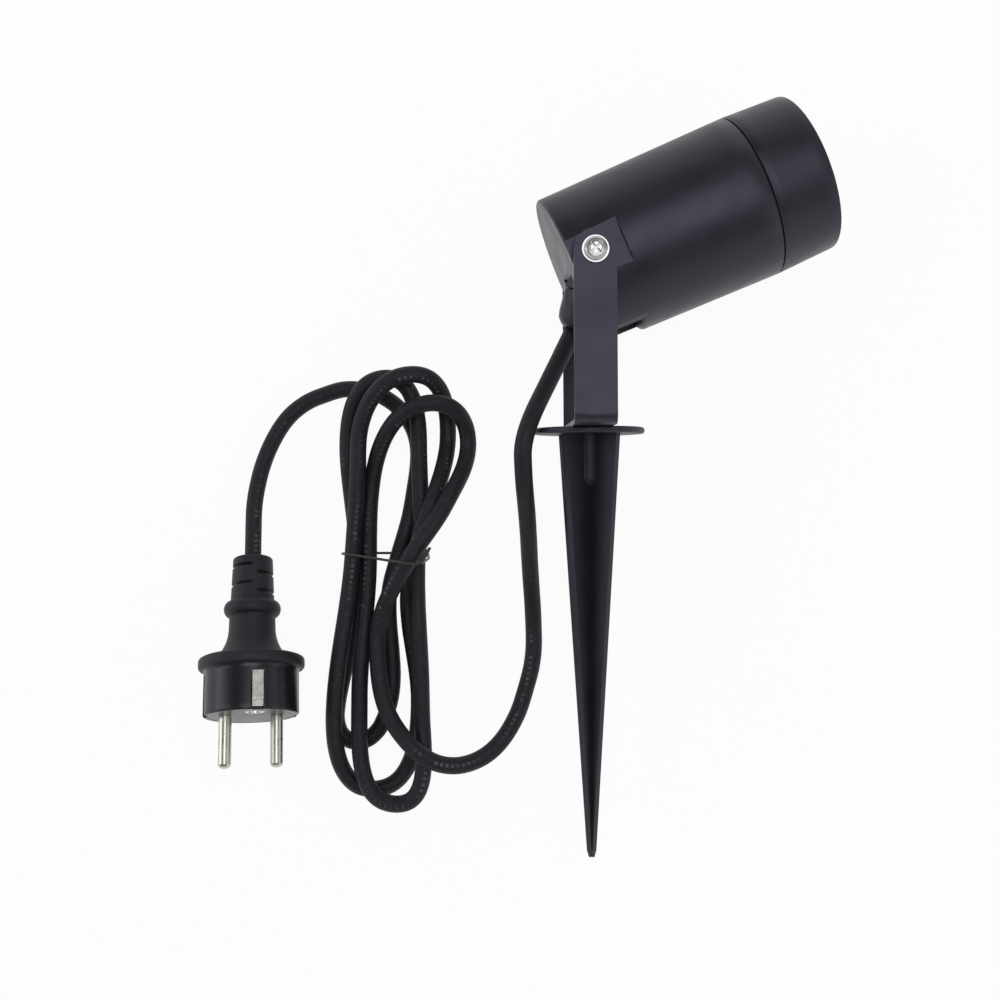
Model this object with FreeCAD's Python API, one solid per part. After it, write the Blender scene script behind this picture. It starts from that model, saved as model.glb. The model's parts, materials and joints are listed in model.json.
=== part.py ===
"""Garden spike spotlight laid down on a flat surface, with its mains lead folded into a tied hank.

Millimetres, +Z up from the surface, +Y the way the spike's tip points back to its head, +X the side that
the lamp head looks to. The lamp rests on three points: the bracket's lower corner, the lower pivot screw and
the front ring's rim. Sub-parts are drawn in three frames of their own and then laid down together:
  bracket frame  origin on the tilt axis, Y along the spike to its head, Z along the tilt axis
  head frame     the bracket frame turned about Z, so that X is the lamp head's optical axis
  plug frame     origin at the cord's end of the plug, Z along its pins
"""
import FreeCAD, Part
import math
import os

V = FreeCAD.Vector
X_AXIS, Y_AXIS, Z_AXIS = V(1, 0, 0), V(0, 1, 0), V(0, 0, 1)

# ---- lamp head: distances along the optical axis are counted from the tilt axis ----
HEAD_ANGLE = 22.8           # degrees that the head leans to the side of the spike's line
BULB_R = 25.0               # the lamp decides the barrel's width
BULB_CLEARANCE = 0.4
BORE_R = BULB_R + BULB_CLEARANCE
BARREL_WALL = 2.9
REAR_R = BORE_R + BARREL_WALL
SHOULDER_R = REAR_R + 1.0   # the barrel widens a little towards the ring
RING_FRONT_R = REAR_R + 0.1
REAR_FACE = -8.2
SHOULDER = 62.1             # where the barrel ends and the screw ring begins
RING_LENGTH = 22.1
RING_FRONT = SHOULDER + RING_LENGTH
REAR_WALL = 3.5
REAR_EDGE_ROUND = 0.6
RING_GAP = 0.6              # open line between barrel and ring
COLLAR_WALL = 1.6
THREAD_R = BORE_R + COLLAR_WALL
FIT = 0.05                  # running and screwed fits, on the radius
LIP_DEPTH = 3.0             # of the ring's lip in front of the glass
GLASS_T = 4.0
GASKET_T = 1.2
GLASS_FRONT = RING_FRONT - LIP_DEPTH
GLASS_BACK = GLASS_FRONT - GLASS_T
COLLAR_END = GLASS_BACK - GASKET_T
LIP_R = BULB_R - 1.0        # clear opening of the ring's lip
LIP_BEVEL = 2.4
O_RING_R = 0.6

# ---- flats and inlet recess at the back of the barrel ----
FLAT_HALF = REAR_R - 0.9    # the two flats for the bracket's arms
FLAT_END = 11.0
SLOT_HALF = 11.9
SLOT_END = 9.3
SLOT_TOP = 0.9              # height where the recess's sloped floor leaves the rear face
SLOT_SLOPE = 49.0           # degrees that the floor falls towards the front
SLOT_WALL = 3.0
SLOT_FLOOR_WALL = 4.0
LIP_ROUND = 1.2

# ---- cable gland on the recess's floor ----
GLAND_ALONG = 11.4          # from the rear face, along the floor
GLAND_SEAL_AT = 10.5
GLAND_SEAL_T = 3.0
GLAND_HEX = 17.0            # across flats
GLAND_HEX_T = 4.5
GLAND_THREAD_R = 6.0
GLAND_STUB = 7.0            # inside the barrel
GLAND_NECK_R = 6.4
GLAND_NUT_START = 4.9
GLAND_NUT_R = 9.3
GLAND_NUT_WAIST_R = 7.8
GLAND_NUT_HEX = 16.4
GLAND_END = 17.2
CORD_D = 6.4
CORD_FIT = 0.05

# ---- pivots ----
STRAP_T = 1.8
SPACER_GAP = 2.3            # between the barrel's flats and the arms
ARM_OUTER = FLAT_HALF + SPACER_GAP + STRAP_T
STRAP_W = 14.4
BEND_R = 3.6
PIVOT_SHAFT_R = 2.0
PIVOT_HEAD_R = 3.9
PIVOT_HEAD_T = 2.1
PIVOT_WASHER_R = 4.6
PIVOT_WASHER_T = 0.9
PIVOT_LENGTH = 12.0
PIVOT_BOSS_R = 5.0
PIVOT_BOSS_DEPTH = 8.5
SPACER_R = 6.6
FACE_GAP = 0.05             # between flat faces that slide on each other

# ---- spike ----
FLANGE_AT = 59.1            # the flange's mid plane, below the tilt axis
FLANGE_R = 20.0
FLANGE_T = 2.2
SPIKE_TIP = 213.7
FIN_R = 13.7                # at the flange
FIN_TIP_R = 1.35
FIN_T = 2.2
TIP_POINT = 2.2             # length of the bevelled end
BARB_AT = 141.5
BARB_STEP = 0.7
BARB_RAMP = 1.6
BOSS_R = 4.1
BOSS_LENGTH = 16.2
BOSS_CONE = 3.0
BOLT_R = 2.5
BOLT_HEAD_R = 4.6
BOLT_HEAD_T = 3.2
BOLT_WASHER_R = 5.4
BOLT_WASHER_T = 1.0
BOLT_LENGTH = 16.0
INSERT_R = 3.2
INSERT_LENGTH = 12.0

# ---- lamp and its holder inside the barrel ----
BULB_FRONT = GLASS_BACK - 1.0
BULB_LENGTH = 46.0
BULB_NECK_R = 14.5
BULB_COVER_T = 2.0
BULB_FINS = 14
PIN_SPACING = 10.0
BULB_PIN_R = 1.5
BULB_PIN_HEAD_R = 2.45
BULB_PIN_LENGTH = 7.0
HOLDER_R = 13.0
HOLDER_T = 14.0
PLATE_T = 1.0
PLATE_HALF = BORE_R - 4.4
PLATE_BOSS_Y = 10.0
PLATE_BOSS_Z = 17.5
PLATE_BOSS_R = 3.5
SMALL_SCREW_R = 1.5
SMALL_SCREW_HEAD_R = 2.8
SMALL_SCREW_HEAD_T = 1.8
SMALL_SCREW_LENGTH = 9.0
WIRE_R = 0.95
WIRE_STEP = 2.2
LAMP_WIRE_Z = 7.2
LAMP_WIRE_STRAIGHT = 2.7
LAMP_WIRE_BEND = 5.0
WIRE_INTO_BLOCK = 3.0
BLOCK_LOW, BLOCK_HIGH = 8.0, 18.0
BLOCK_HALF = 10.0
BLOCK_LENGTH = 17.0
EARTH_Y, EARTH_Z = 16.0, 16.0

# ---- mains plug ----
PLUG_BODY_R = 17.75
PLUG_FLANGE_R = PLUG_BODY_R + 2.15
PLUG_FLANGE = (39.7, 44.3)
PLUG_FACE = 61.6
PLUG_RELIEF_R = (7.6, 8.3)
PLUG_RELIEF_LENGTH = 17.2
PLUG_COLLAR_R = 10.8
PLUG_NECK_R = 8.8
PLUG_TURN = -26.4           # degrees that the plug lies turned about its own axis
PIN_R = 2.4
PIN_LENGTH = 19.0
PIN_PITCH = 19.0
PIN_FOOT_R = 2.1            # of the pins inside the face plate
PIN_FOOT_UP = 0.4           # the foot ends this far in front of the plate
PIN_DOME = 1.4              # length of the pins' rounded ends
PLUG_FACE_R = PLUG_BODY_R - 2.55
PLUG_FACE_T = 3.0
EARTH_STRIP_L = 14.3
EARTH_STRIP_W = 4.0
EARTH_STRIP_T = 0.8
EARTH_HOLE_R = 2.4
EARTH_HOLE_AT = -10.0       # on the side that lies uppermost
EARTH_TUBE_R = 3.6
EARTH_TUBE_DEPTH = 14.0

# ---- cord, hank and tie: points in plan from the tilt axis, heights from the surface ----
PLUG_AT = (-132.5, -105.6)
PLUG_HEADING = 5.2          # degrees that the plug points to the lamp's side
LEAD_PLUG_RUN = 12.0        # straight runs out of what the cord leaves
LEAD_START_RUN = 11.0
LEAD_END_RUN = 9.0
LEAD_GLAND_RUN = 15.0
PLUG_LEAD = [(-133.5, -77.2, 3.4), (-129.0, -59.8, 3.4)]
LAMP_LEAD = [(-21.7, -128.5, 3.4), (-23.0, -109.5, 10.0), (-23.2, -91.0, 27.0), (-23.6, -75.5, 42.0),
             (-23.1, -61.0, 45.5)]
# Stations of the folded cord: x, y, height, direction in plan (degrees from +X), slope. Three loops, each
# a half loop at the lamp's head end (rising side, end, falling side, waist) and one at the spike's end.
HANK = [
    (-102.5, -40.1, 3.4, 21, 0), (-94.5, -38.4, 3.4, 0, 0), (-73.7, -65.0, 3.4, -90, 0),
    (-74.7, -104.5, 4.6, -90, 0),
    (-78.0, -148.5, 3.4, -90, 0), (-90.6, -183.7, 3.4, 180, 0), (-100.1, -157.2, 3.4, 90, 0),
    (-92.8, -104.5, 4.6, 90, 0),
    (-94.1, -61.5, 6.6, 90, 0), (-78.7, -35.7, 11.9, 3, -0.12), (-66.3, -61.9, 3.4, -90, 0),
    (-67.5, -104.5, 4.6, -90, 0),
    (-67.7, -160.8, 3.7, -90, 0), (-84.5, -195.1, 5.6, 180, 0.22), (-98.1, -168.3, 11.7, 90, 0),
    (-90.9, -104.5, 11.9, 90, 0),
    (-88.9, -63.6, 13.6, 90, 0), (-66.2, -35.8, 18.2, 0, -0.26), (-55.3, -57.8, 4.4, -90, 0),
    (-66.4, -104.5, 12.3, -90, 0),
    (-65.0, -161.5, 11.1, -90, 0), (-74.2, -198.2, 14.4, 180, -0.05), (-89.5, -160.1, 9.8, 90, 0),
    (-85.0, -104.5, 4.6, 90, 0),
    (-83.4, -71.0, 6.4, 90, 0), (-59.3, -46.2, 16.4, 0, -0.05), (-46.9, -60.9, 7.0, -90, 0),
    (-67.1, -104.5, 19.8, -121.5, 0),
    (-81.8, -138.6, 11.9, -90, 0), (-73.9, -169.2, 16.0, -51.5, 0.24), (-62.3, -179.7, 19.1, -33, -0.08),
    (-52.0, -183.3, 16.4, -1.5, -0.28), (-38.9, -179.3, 11.4, 36, -0.33), (-30.0, -168.4, 6.5, 62, -0.27),
    (-26.3, -159.4, 4.6, 74, -0.07),
]
WAIST_Y = -104.5
TIE_R = 0.55
TIE_GAP = 0.35
TIE_ROUND = [(-92.8, 4.6), (-90.9, 11.9), (-67.8, 19.8), (-66.4, 19.8), (-66.0, 12.3), (-67.3, 4.6)]
TIE_KNOT_AT = 3             # the corner that the ends are twisted together at
TIE_TAIL = 7.0
TIE_TAIL_HEADING = (0.75, 0.62, 0.1)


# =====================================================================================================
# Shape helpers
# =====================================================================================================
def face_of(points):
    """A flat face through points, closed."""
    return Part.Face(Part.makePolygon(points + [points[0]]))


def turned_x(profile):
    """The solid that a closed (along, radius) outline makes when turned about X."""
    return face_of([V(x, r, 0) for x, r in profile]).revolve(V(0, 0, 0), X_AXIS, 360)


def turned_z(profile):
    """The solid that a closed (along, radius) outline makes when turned about Z."""
    return face_of([V(r, 0, z) for z, r in profile]).revolve(V(0, 0, 0), Z_AXIS, 360)


def rod(radius, start, end):
    """A round bar between two points."""
    return Part.makeCylinder(radius, (end - start).Length, start, end - start)


def tube(outer, inner, start, end):
    """A round tube between two points."""
    return rod(outer, start, end).cut(rod(inner, start, end))


def slab(x, y, z):
    """A box from three (low, high) pairs."""
    return Part.makeBox(x[1] - x[0], y[1] - y[0], z[1] - z[0], V(x[0], y[0], z[0]))


def hexagon(across_flats, z_low, z_high):
    """A hexagonal bar along Z."""
    corner = across_flats / math.sqrt(3)
    points = [V(corner * math.cos(math.radians(60 * i)), corner * math.sin(math.radians(60 * i)), z_low)
              for i in range(6)]
    return face_of(points).extrude(V(0, 0, z_high - z_low))


def turned_copy(shape, axis, angle, centre=V(0, 0, 0)):
    """A copy turned about an axis through a point."""
    copy = shape.copy()
    copy.rotate(centre, axis, angle)
    return copy


def mirrored_z(shape):
    """The shape and its mirror image across the middle plane of the lamp."""
    return [shape, shape.mirror(V(0, 0, 0), Z_AXIS)]


def fused(shapes):
    """One solid from several that touch or overlap."""
    first, rest = shapes[0], shapes[1:]
    return first.fuse(rest).removeSplitter()


def placed(shape, placement):
    """A copy whose geometry is moved by a placement."""
    return shape.transformed(placement.toMatrix(), True)


def side_of(placement, direction):
    """A direction of a placement's own frame, turned into the common one."""
    return placement.Rotation.multVec(direction)


# =====================================================================================================
# Lamp head, in the head frame: X is the optical axis, Y the top side, Z the tilt axis
# =====================================================================================================
CAVITY_BACK = REAR_FACE + REAR_WALL
FLOOR_DIR = V(math.cos(math.radians(SLOT_SLOPE)), -math.sin(math.radians(SLOT_SLOPE)), 0)
OUTLET_DIR = V(-math.sin(math.radians(SLOT_SLOPE)), -math.cos(math.radians(SLOT_SLOPE)), 0)
SLOT_START = V(REAR_FACE, SLOT_TOP, 0)
GLAND_FOOT = SLOT_START + FLOOR_DIR * GLAND_ALONG
GLAND_FRAME = FreeCAD.Placement(GLAND_FOOT, FreeCAD.Rotation(Z_AXIS, OUTLET_DIR))


def inlet_recess(grow_floor, grow_side):
    """The recess that the gland sits in; grown, it is the pocket that walls it off from the inside."""
    start = SLOT_START - OUTLET_DIR * grow_floor
    end_x = SLOT_END + grow_side
    floor_end = start + FLOOR_DIR * ((end_x - start.x) / FLOOR_DIR.x)
    back = start - FLOOR_DIR * REAR_R
    outside = -2 * REAR_R
    half = SLOT_HALF + grow_side
    points = [back, floor_end, V(end_x, outside, 0), V(back.x, outside, 0)]
    points = [p + V(0, 0, -half) for p in points]
    return face_of(points).extrude(V(0, 0, 2 * half))


def barrel_cavity():
    """The hollow of the barrel, less the pocket and bosses that stand in it."""
    open_end = COLLAR_END + 1
    hollow = turned_x([(CAVITY_BACK, 0), (CAVITY_BACK, BORE_R), (open_end, BORE_R), (open_end, 0)])
    bosses = [inlet_recess(SLOT_FLOOR_WALL, SLOT_WALL)]
    pivot_boss = rod(PIVOT_BOSS_R, V(0, 0, FLAT_HALF - PIVOT_BOSS_DEPTH), V(0, 0, REAR_R))
    bosses += mirrored_z(pivot_boss)
    plate_boss = rod(PLATE_BOSS_R, V(REAR_FACE, PLATE_BOSS_Y, PLATE_BOSS_Z),
                     V(PLATE_BACK, PLATE_BOSS_Y, PLATE_BOSS_Z))
    bosses += mirrored_z(plate_boss)
    return hollow.cut(bosses)


def head_housing():
    """The cast barrel with its threaded collar, side flats, inlet recess, bosses and tapped holes."""
    outside = turned_x([(REAR_FACE, 0), (REAR_FACE, REAR_R - REAR_EDGE_ROUND),
                        (REAR_FACE + REAR_EDGE_ROUND, REAR_R), (SHOULDER, SHOULDER_R), (SHOULDER, THREAD_R),
                        (COLLAR_END, THREAD_R), (COLLAR_END, 0)])
    flat = slab((REAR_FACE - 1, FLAT_END), (-REAR_R, REAR_R), (FLAT_HALF, 2 * REAR_R))
    pivot_hole = rod(PIVOT_SHAFT_R + FIT, V(0, 0, PIVOT_INNER_END - 1), V(0, 0, 2 * REAR_R))
    plate_hole = rod(SMALL_SCREW_R + FIT, V(PLATE_BACK - SMALL_SCREW_LENGTH, PLATE_BOSS_Y, PLATE_BOSS_Z),
                     V(PLATE_BACK + 1, PLATE_BOSS_Y, PLATE_BOSS_Z))
    gland_hole = placed(rod(GLAND_THREAD_R + FIT, V(0, 0, -SLOT_FLOOR_WALL - 2), V(0, 0, 1)), GLAND_FRAME)
    earth_hole = rod(SMALL_SCREW_R + FIT, V(CAVITY_BACK - REAR_WALL / 2, EARTH_Y, EARTH_Z),
                     V(CAVITY_BACK + 1, EARTH_Y, EARTH_Z))
    holes = mirrored_z(pivot_hole) + mirrored_z(plate_hole) + [gland_hole, earth_hole]
    body = outside.cut(barrel_cavity()).cut(mirrored_z(flat) + [inlet_recess(0, 0)])
    lip_edges = [e for e in body.Edges if is_lip_edge(e)]
    return body.makeFillet(LIP_ROUND, lip_edges).cut(holes)


def is_lip_edge(edge):
    """True for the outside edge where the recess's front wall meets the barrel."""
    box = edge.BoundBox
    on_wall = abs(box.XMin - SLOT_END) < 0.01 and abs(box.XMax - SLOT_END) < 0.01
    return on_wall and box.YMax < -SLOT_HALF and box.ZLength > SLOT_HALF


def front_ring():
    """The screw ring that clamps the glass: a thread bore, a clearance for the seal and a bevelled lip."""
    back = SHOULDER + RING_GAP
    seal_end = SHOULDER + 2 * O_RING_R + 1.0
    seal_r = THREAD_R + 2 * O_RING_R + 0.15
    bore = THREAD_R + FIT
    return turned_x([(back, seal_r), (seal_end, seal_r), (seal_end, bore), (GLASS_FRONT, bore),
                     (GLASS_FRONT, LIP_R), (RING_FRONT, LIP_R + LIP_BEVEL), (RING_FRONT, RING_FRONT_R - 0.3),
                     (RING_FRONT - 0.3, RING_FRONT_R), (back, SHOULDER_R)])


def ring_seal():
    """The seal between the barrel's shoulder and the ring, an eight-sided section."""
    corner = O_RING_R * math.tan(math.pi / 8)
    centre = (SHOULDER + FIT + O_RING_R, THREAD_R + FIT + O_RING_R)
    section = [(O_RING_R, corner), (corner, O_RING_R), (-corner, O_RING_R), (-O_RING_R, corner),
               (-O_RING_R, -corner), (-corner, -O_RING_R), (corner, -O_RING_R), (O_RING_R, -corner)]
    return turned_x([(centre[0] + x, centre[1] + r) for x, r in section])


def glass_gasket():
    """The flat gasket under the glass."""
    return tube(THREAD_R - 0.1, BORE_R, V(COLLAR_END, 0, 0), V(GLASS_BACK, 0, 0))


def glass_lens():
    """The clear front glass, its rims bevelled."""
    rim = 0.4
    radius = THREAD_R - 0.1
    return turned_x([(GLASS_BACK, 0), (GLASS_BACK, radius - rim), (GLASS_BACK + rim, radius),
                     (GLASS_FRONT - rim, radius), (GLASS_FRONT, radius - rim), (GLASS_FRONT, 0)])


# ---- gland, in a frame whose Z leaves the recess's floor ----
def gland_body():
    """Hexagon flange, the threaded stub that passes the wall, and the neck that the dome nut screws on."""
    bore = CORD_D / 2 + CORD_FIT
    body = fused([hexagon(GLAND_HEX, 0, GLAND_HEX_T), rod(GLAND_THREAD_R, V(0, 0, -GLAND_STUB), V(0, 0, 1)),
                  rod(GLAND_NECK_R, V(0, 0, 1), V(0, 0, GLAND_SEAL_AT))])
    return placed(body.cut(rod(bore, V(0, 0, -2 * GLAND_STUB), V(0, 0, 2 * GLAND_END))), GLAND_FRAME)


def gland_seal():
    """The rubber sleeve that the nut squeezes on the cord."""
    bore = CORD_D / 2 + CORD_FIT
    sleeve = tube(GLAND_NECK_R - 0.1, bore, V(0, 0, GLAND_SEAL_AT), V(0, 0, GLAND_SEAL_AT + GLAND_SEAL_T))
    return placed(sleeve, GLAND_FRAME)


def gland_nut():
    """The tapered dome nut with six flats."""
    bore = CORD_D / 2 + 0.1
    inside = GLAND_NECK_R + FIT
    seal_end = GLAND_SEAL_AT + GLAND_SEAL_T
    dome = turned_z([(GLAND_NUT_START, inside), (GLAND_NUT_START, GLAND_NUT_R),
                     (GLAND_END - 4.6, GLAND_NUT_WAIST_R),
                     (GLAND_END - 2.3, GLAND_NUT_WAIST_R - 0.8), (GLAND_END - 0.8, GLAND_NUT_WAIST_R - 2.3),
                     (GLAND_END, bore + 0.8), (GLAND_END, bore), (seal_end, bore), (seal_end, inside)])
    return placed(dome.common(hexagon(GLAND_NUT_HEX, 0, 2 * GLAND_END)), GLAND_FRAME)


def inlet_cable():
    """The cord's sheath inside the gland."""
    return placed(rod(CORD_D / 2, V(0, 0, -GLAND_STUB), V(0, 0, GLAND_END)), GLAND_FRAME)


# ---- pivots ----
PIVOT_WASHER_AT = ARM_OUTER + FACE_GAP
PIVOT_HEAD_AT = PIVOT_WASHER_AT + PIVOT_WASHER_T
PIVOT_TOP = PIVOT_HEAD_AT + PIVOT_HEAD_T
PIVOT_INNER_END = PIVOT_HEAD_AT - PIVOT_LENGTH


def cross_recess(radius, depth):
    """A cross-point recess at the origin, opening towards Z."""
    wing = slab((-radius, radius), (-radius / 5, radius / 5), (-depth, 1))
    return wing.fuse(turned_copy(wing, Z_AXIS, 90))


def pan_screw(head_r, head_t, shaft_r, length):
    """A pan-head screw along Z, its head's underside at z = 0."""
    head = turned_z([(0, 0), (0, head_r), (head_t * 0.45, head_r), (head_t * 0.85, head_r * 0.8),
                     (head_t, head_r * 0.45), (head_t, 0)])
    shaft = turned_z([(-length, 0), (-length, shaft_r - 0.5), (0.5 - length, shaft_r),
                      (0.1, shaft_r), (0.1, 0)])
    recess = cross_recess(head_r * 0.6, head_t * 0.6)
    recess.translate(V(0, 0, head_t))
    return fused([head, shaft]).cut(recess)


def slotted_screw(head_r, head_t, shaft_r, length):
    """A small slotted screw along Z, its head's underside at z = 0."""
    screw = turned_z([(-length, 0), (-length, shaft_r), (0, shaft_r),
                      (0, head_r), (head_t, head_r), (head_t, 0)])
    return screw.cut(slab((-2 * head_r, 2 * head_r), (-0.3, 0.3), (head_t * 0.5, head_t + 1)))


def pivot_screws():
    """The two screws that the head tilts on."""
    screw = pan_screw(PIVOT_HEAD_R, PIVOT_HEAD_T, PIVOT_SHAFT_R, PIVOT_LENGTH)
    screw.translate(V(0, 0, PIVOT_HEAD_AT))
    return mirrored_z(turned_copy(screw, Z_AXIS, 20))


def pivot_washers():
    """The plain washers under the pivot screws' heads."""
    washer = tube(PIVOT_WASHER_R, PIVOT_SHAFT_R + FIT, V(0, 0, PIVOT_WASHER_AT), V(0, 0, PIVOT_HEAD_AT))
    return mirrored_z(washer)


def friction_spacers():
    """The discs between the barrel's flats and the bracket's arms."""
    spacer = tube(SPACER_R, PIVOT_SHAFT_R + FIT, V(0, 0, FLAT_HALF), V(0, 0, ARM_OUTER - STRAP_T - FACE_GAP))
    return mirrored_z(spacer)


# ---- lamp, holder and wiring ----
BULB_BACK = BULB_FRONT - BULB_LENGTH
HOLDER_FRONT = BULB_BACK - FACE_GAP
HOLDER_BACK = HOLDER_FRONT - HOLDER_T
PLATE_BACK = HOLDER_BACK - PLATE_T


def bulb_body():
    """The lamp's body: base, tapered shell with cooling fins, and rim."""
    rim_back = BULB_FRONT - BULB_COVER_T - 3.0
    core = turned_x([(BULB_BACK, 0), (BULB_BACK, BULB_NECK_R - 1.5), (BULB_BACK + 8, BULB_NECK_R - 1.0),
                     (BULB_BACK + 12, BULB_NECK_R), (rim_back - 6, BULB_R - 5.0), (rim_back, BULB_R - 1.2),
                     (rim_back, BULB_R), (BULB_FRONT - BULB_COVER_T, BULB_R), (BULB_FRONT - BULB_COVER_T, 0)])
    fin = face_of([V(BULB_BACK + 12, BULB_NECK_R - 1, -0.6), V(BULB_BACK + 14, BULB_NECK_R + 2.2, -0.6),
                   V(rim_back - 5, BULB_R - 2.4, -0.6), V(rim_back + 1, BULB_R - 1.4, -0.6),
                   V(rim_back + 1, BULB_R - 6, -0.6)]).extrude(V(0, 0, 1.2))
    fins = [turned_copy(fin, X_AXIS, 360 / BULB_FINS * i) for i in range(BULB_FINS)]
    return core.fuse(fins)


def bulb_cover():
    """The lamp's front cover, slightly domed."""
    start = BULB_FRONT - BULB_COVER_T
    return turned_x([(start, 0), (start, BULB_R - 1.6), (BULB_FRONT - 0.8, BULB_R - 1.9),
                     (BULB_FRONT - 0.3, BULB_R - 6), (BULB_FRONT, BULB_R - 14), (BULB_FRONT, 0)])


def bulb_pins():
    """The lamp's two mushroom pins."""
    end = BULB_BACK - BULB_PIN_LENGTH
    neck = end + 2.2
    pin = turned_x([(BULB_BACK, 0), (BULB_BACK, BULB_PIN_R), (neck, BULB_PIN_R), (neck, BULB_PIN_HEAD_R),
                    (end + 0.4, BULB_PIN_HEAD_R), (end, BULB_PIN_HEAD_R - 0.5), (end, 0)])
    pin.translate(V(0, 0, PIN_SPACING / 2))
    return mirrored_z(pin)


def lampholder():
    """The ceramic holder with a socket for each pin."""
    holder = turned_x([(HOLDER_BACK, 0), (HOLDER_BACK, HOLDER_R - 1), (HOLDER_BACK + 1, HOLDER_R),
                       (HOLDER_FRONT - 1, HOLDER_R), (HOLDER_FRONT, HOLDER_R - 1), (HOLDER_FRONT, 0)])
    depth = BULB_PIN_LENGTH + 1.0
    socket = rod(BULB_PIN_HEAD_R + 0.3, V(HOLDER_FRONT - depth, 0, PIN_SPACING / 2),
                 V(HOLDER_FRONT + 1, 0, PIN_SPACING / 2))
    screw_hole = rod(SMALL_SCREW_R + FIT, V(HOLDER_BACK - 1, -8.5, 0), V(HOLDER_BACK + 5, -8.5, 0))
    return holder.cut(mirrored_z(socket) + [screw_hole, turned_copy(screw_hole, X_AXIS, 180)])


def holder_plate():
    """The steel plate that carries the holder on the barrel's two long bosses."""
    plate = slab((PLATE_BACK, HOLDER_BACK), (-HOLDER_R + 2, PLATE_BOSS_Y + 4), (-PLATE_HALF, PLATE_HALF))
    plate = plate.common(rod(BORE_R - 1, V(PLATE_BACK - 1, 0, 0), V(HOLDER_BACK + 1, 0, 0)))
    window = rod(2.0, V(PLATE_BACK - 1, 0, LAMP_WIRE_Z), V(HOLDER_BACK + 1, 0, LAMP_WIRE_Z))
    hole = rod(SMALL_SCREW_R + FIT, V(PLATE_BACK - 1, -8.5, 0), V(HOLDER_BACK + 1, -8.5, 0))
    boss_hole = rod(SMALL_SCREW_R + FIT, V(PLATE_BACK - 1, PLATE_BOSS_Y, PLATE_BOSS_Z),
                    V(HOLDER_BACK + 1, PLATE_BOSS_Y, PLATE_BOSS_Z))
    return plate.cut(mirrored_z(window) + mirrored_z(boss_hole) + [hole, turned_copy(hole, X_AXIS, 180)])


def holder_screws():
    """Two screws that hold the plate on its bosses, and two that hold the holder on the plate."""
    screw = slotted_screw(SMALL_SCREW_HEAD_R, SMALL_SCREW_HEAD_T, SMALL_SCREW_R, SMALL_SCREW_LENGTH - 1)
    at = V(HOLDER_BACK, PLATE_BOSS_Y, PLATE_BOSS_Z)
    forward = placed(screw, FreeCAD.Placement(at, FreeCAD.Rotation(Z_AXIS, X_AXIS)))
    short = slotted_screw(SMALL_SCREW_HEAD_R, SMALL_SCREW_HEAD_T, SMALL_SCREW_R, 5.0)
    backward = placed(short, FreeCAD.Placement(V(PLATE_BACK, -8.5, 0), FreeCAD.Rotation(Z_AXIS, V(-1, 0, 0))))
    return mirrored_z(forward) + [backward, turned_copy(backward, X_AXIS, 180)]


def supply_bend():
    """The arc of the cord's middle wire, from the gland's inner end up to the block: start, middle, end."""
    start = GLAND_FOOT - OUTLET_DIR * GLAND_STUB
    heading = math.radians(90 - SLOT_SLOPE)
    bend = (BLOCK_LOW - 1.0 - start.y) / math.cos(heading)
    half = (heading + math.pi / 2) / 2
    centre = start + V(-math.sin(heading), math.cos(heading), 0) * bend
    middle = centre + V(math.sin(half), -math.cos(half), 0) * bend
    return start, middle, V(centre.x + bend, BLOCK_LOW - 1.0, 0)


def terminal_block():
    """The block that joins the cord's wires to the holder's, on the rear wall."""
    length = (CAVITY_BACK, CAVITY_BACK + BLOCK_LENGTH)
    block = slab(length, (BLOCK_LOW, BLOCK_HIGH), (-BLOCK_HALF, BLOCK_HALF))
    supply_x = supply_bend()[2].x
    lamp_x = HOLDER_BACK - LAMP_WIRE_STRAIGHT - LAMP_WIRE_BEND
    entries = [(supply_x, z) for z in (-WIRE_STEP, 0, WIRE_STEP)]
    entries += [(lamp_x, z) for z in (-LAMP_WIRE_Z, LAMP_WIRE_Z)]
    low, high = BLOCK_LOW - 1, BLOCK_LOW + WIRE_INTO_BLOCK
    return block.cut([rod(WIRE_R + FIT, V(x, low, z), V(x, high, z)) for x, z in entries])


def wire_along(edges, start, direction):
    """A round wire along a path that starts at a point in a direction."""
    ring = Part.Wire(Part.makeCircle(WIRE_R, start, direction))
    return Part.Wire(edges).makePipeShell([ring], True, False)


def supply_wires():
    """The cord's three wires, from the gland's inner end into the terminal block."""
    start, middle, end = supply_bend()
    wires = []
    for z in (-WIRE_STEP, 0, WIRE_STEP):
        lift = V(0, 0, z)
        arc = Part.Arc(start + lift, middle + lift, end + lift).toShape()
        line = Part.LineSegment(end + lift, end + lift + V(0, 1.0 + WIRE_INTO_BLOCK, 0)).toShape()
        wires.append(wire_along([arc, line], start + lift, OUTLET_DIR * -1))
    return wires


def lamp_wires():
    """The two wires from the terminal block to the lampholder."""
    wires = []
    for z in (-LAMP_WIRE_Z, LAMP_WIRE_Z):
        start = V(HOLDER_BACK, 0, z)
        bend_start = V(HOLDER_BACK - LAMP_WIRE_STRAIGHT, 0, z)
        corner = LAMP_WIRE_BEND * (1 - math.sqrt(0.5))
        middle = bend_start + V(-LAMP_WIRE_BEND + corner, corner, 0)
        bend_end = bend_start + V(-LAMP_WIRE_BEND, LAMP_WIRE_BEND, 0)
        top = V(bend_end.x, BLOCK_LOW + WIRE_INTO_BLOCK, z)
        edges = [Part.LineSegment(start, bend_start).toShape(),
                 Part.Arc(bend_start, middle, bend_end).toShape(),
                 Part.LineSegment(bend_end, top).toShape()]
        wires.append(wire_along(edges, start, X_AXIS * -1))
    return wires


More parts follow.
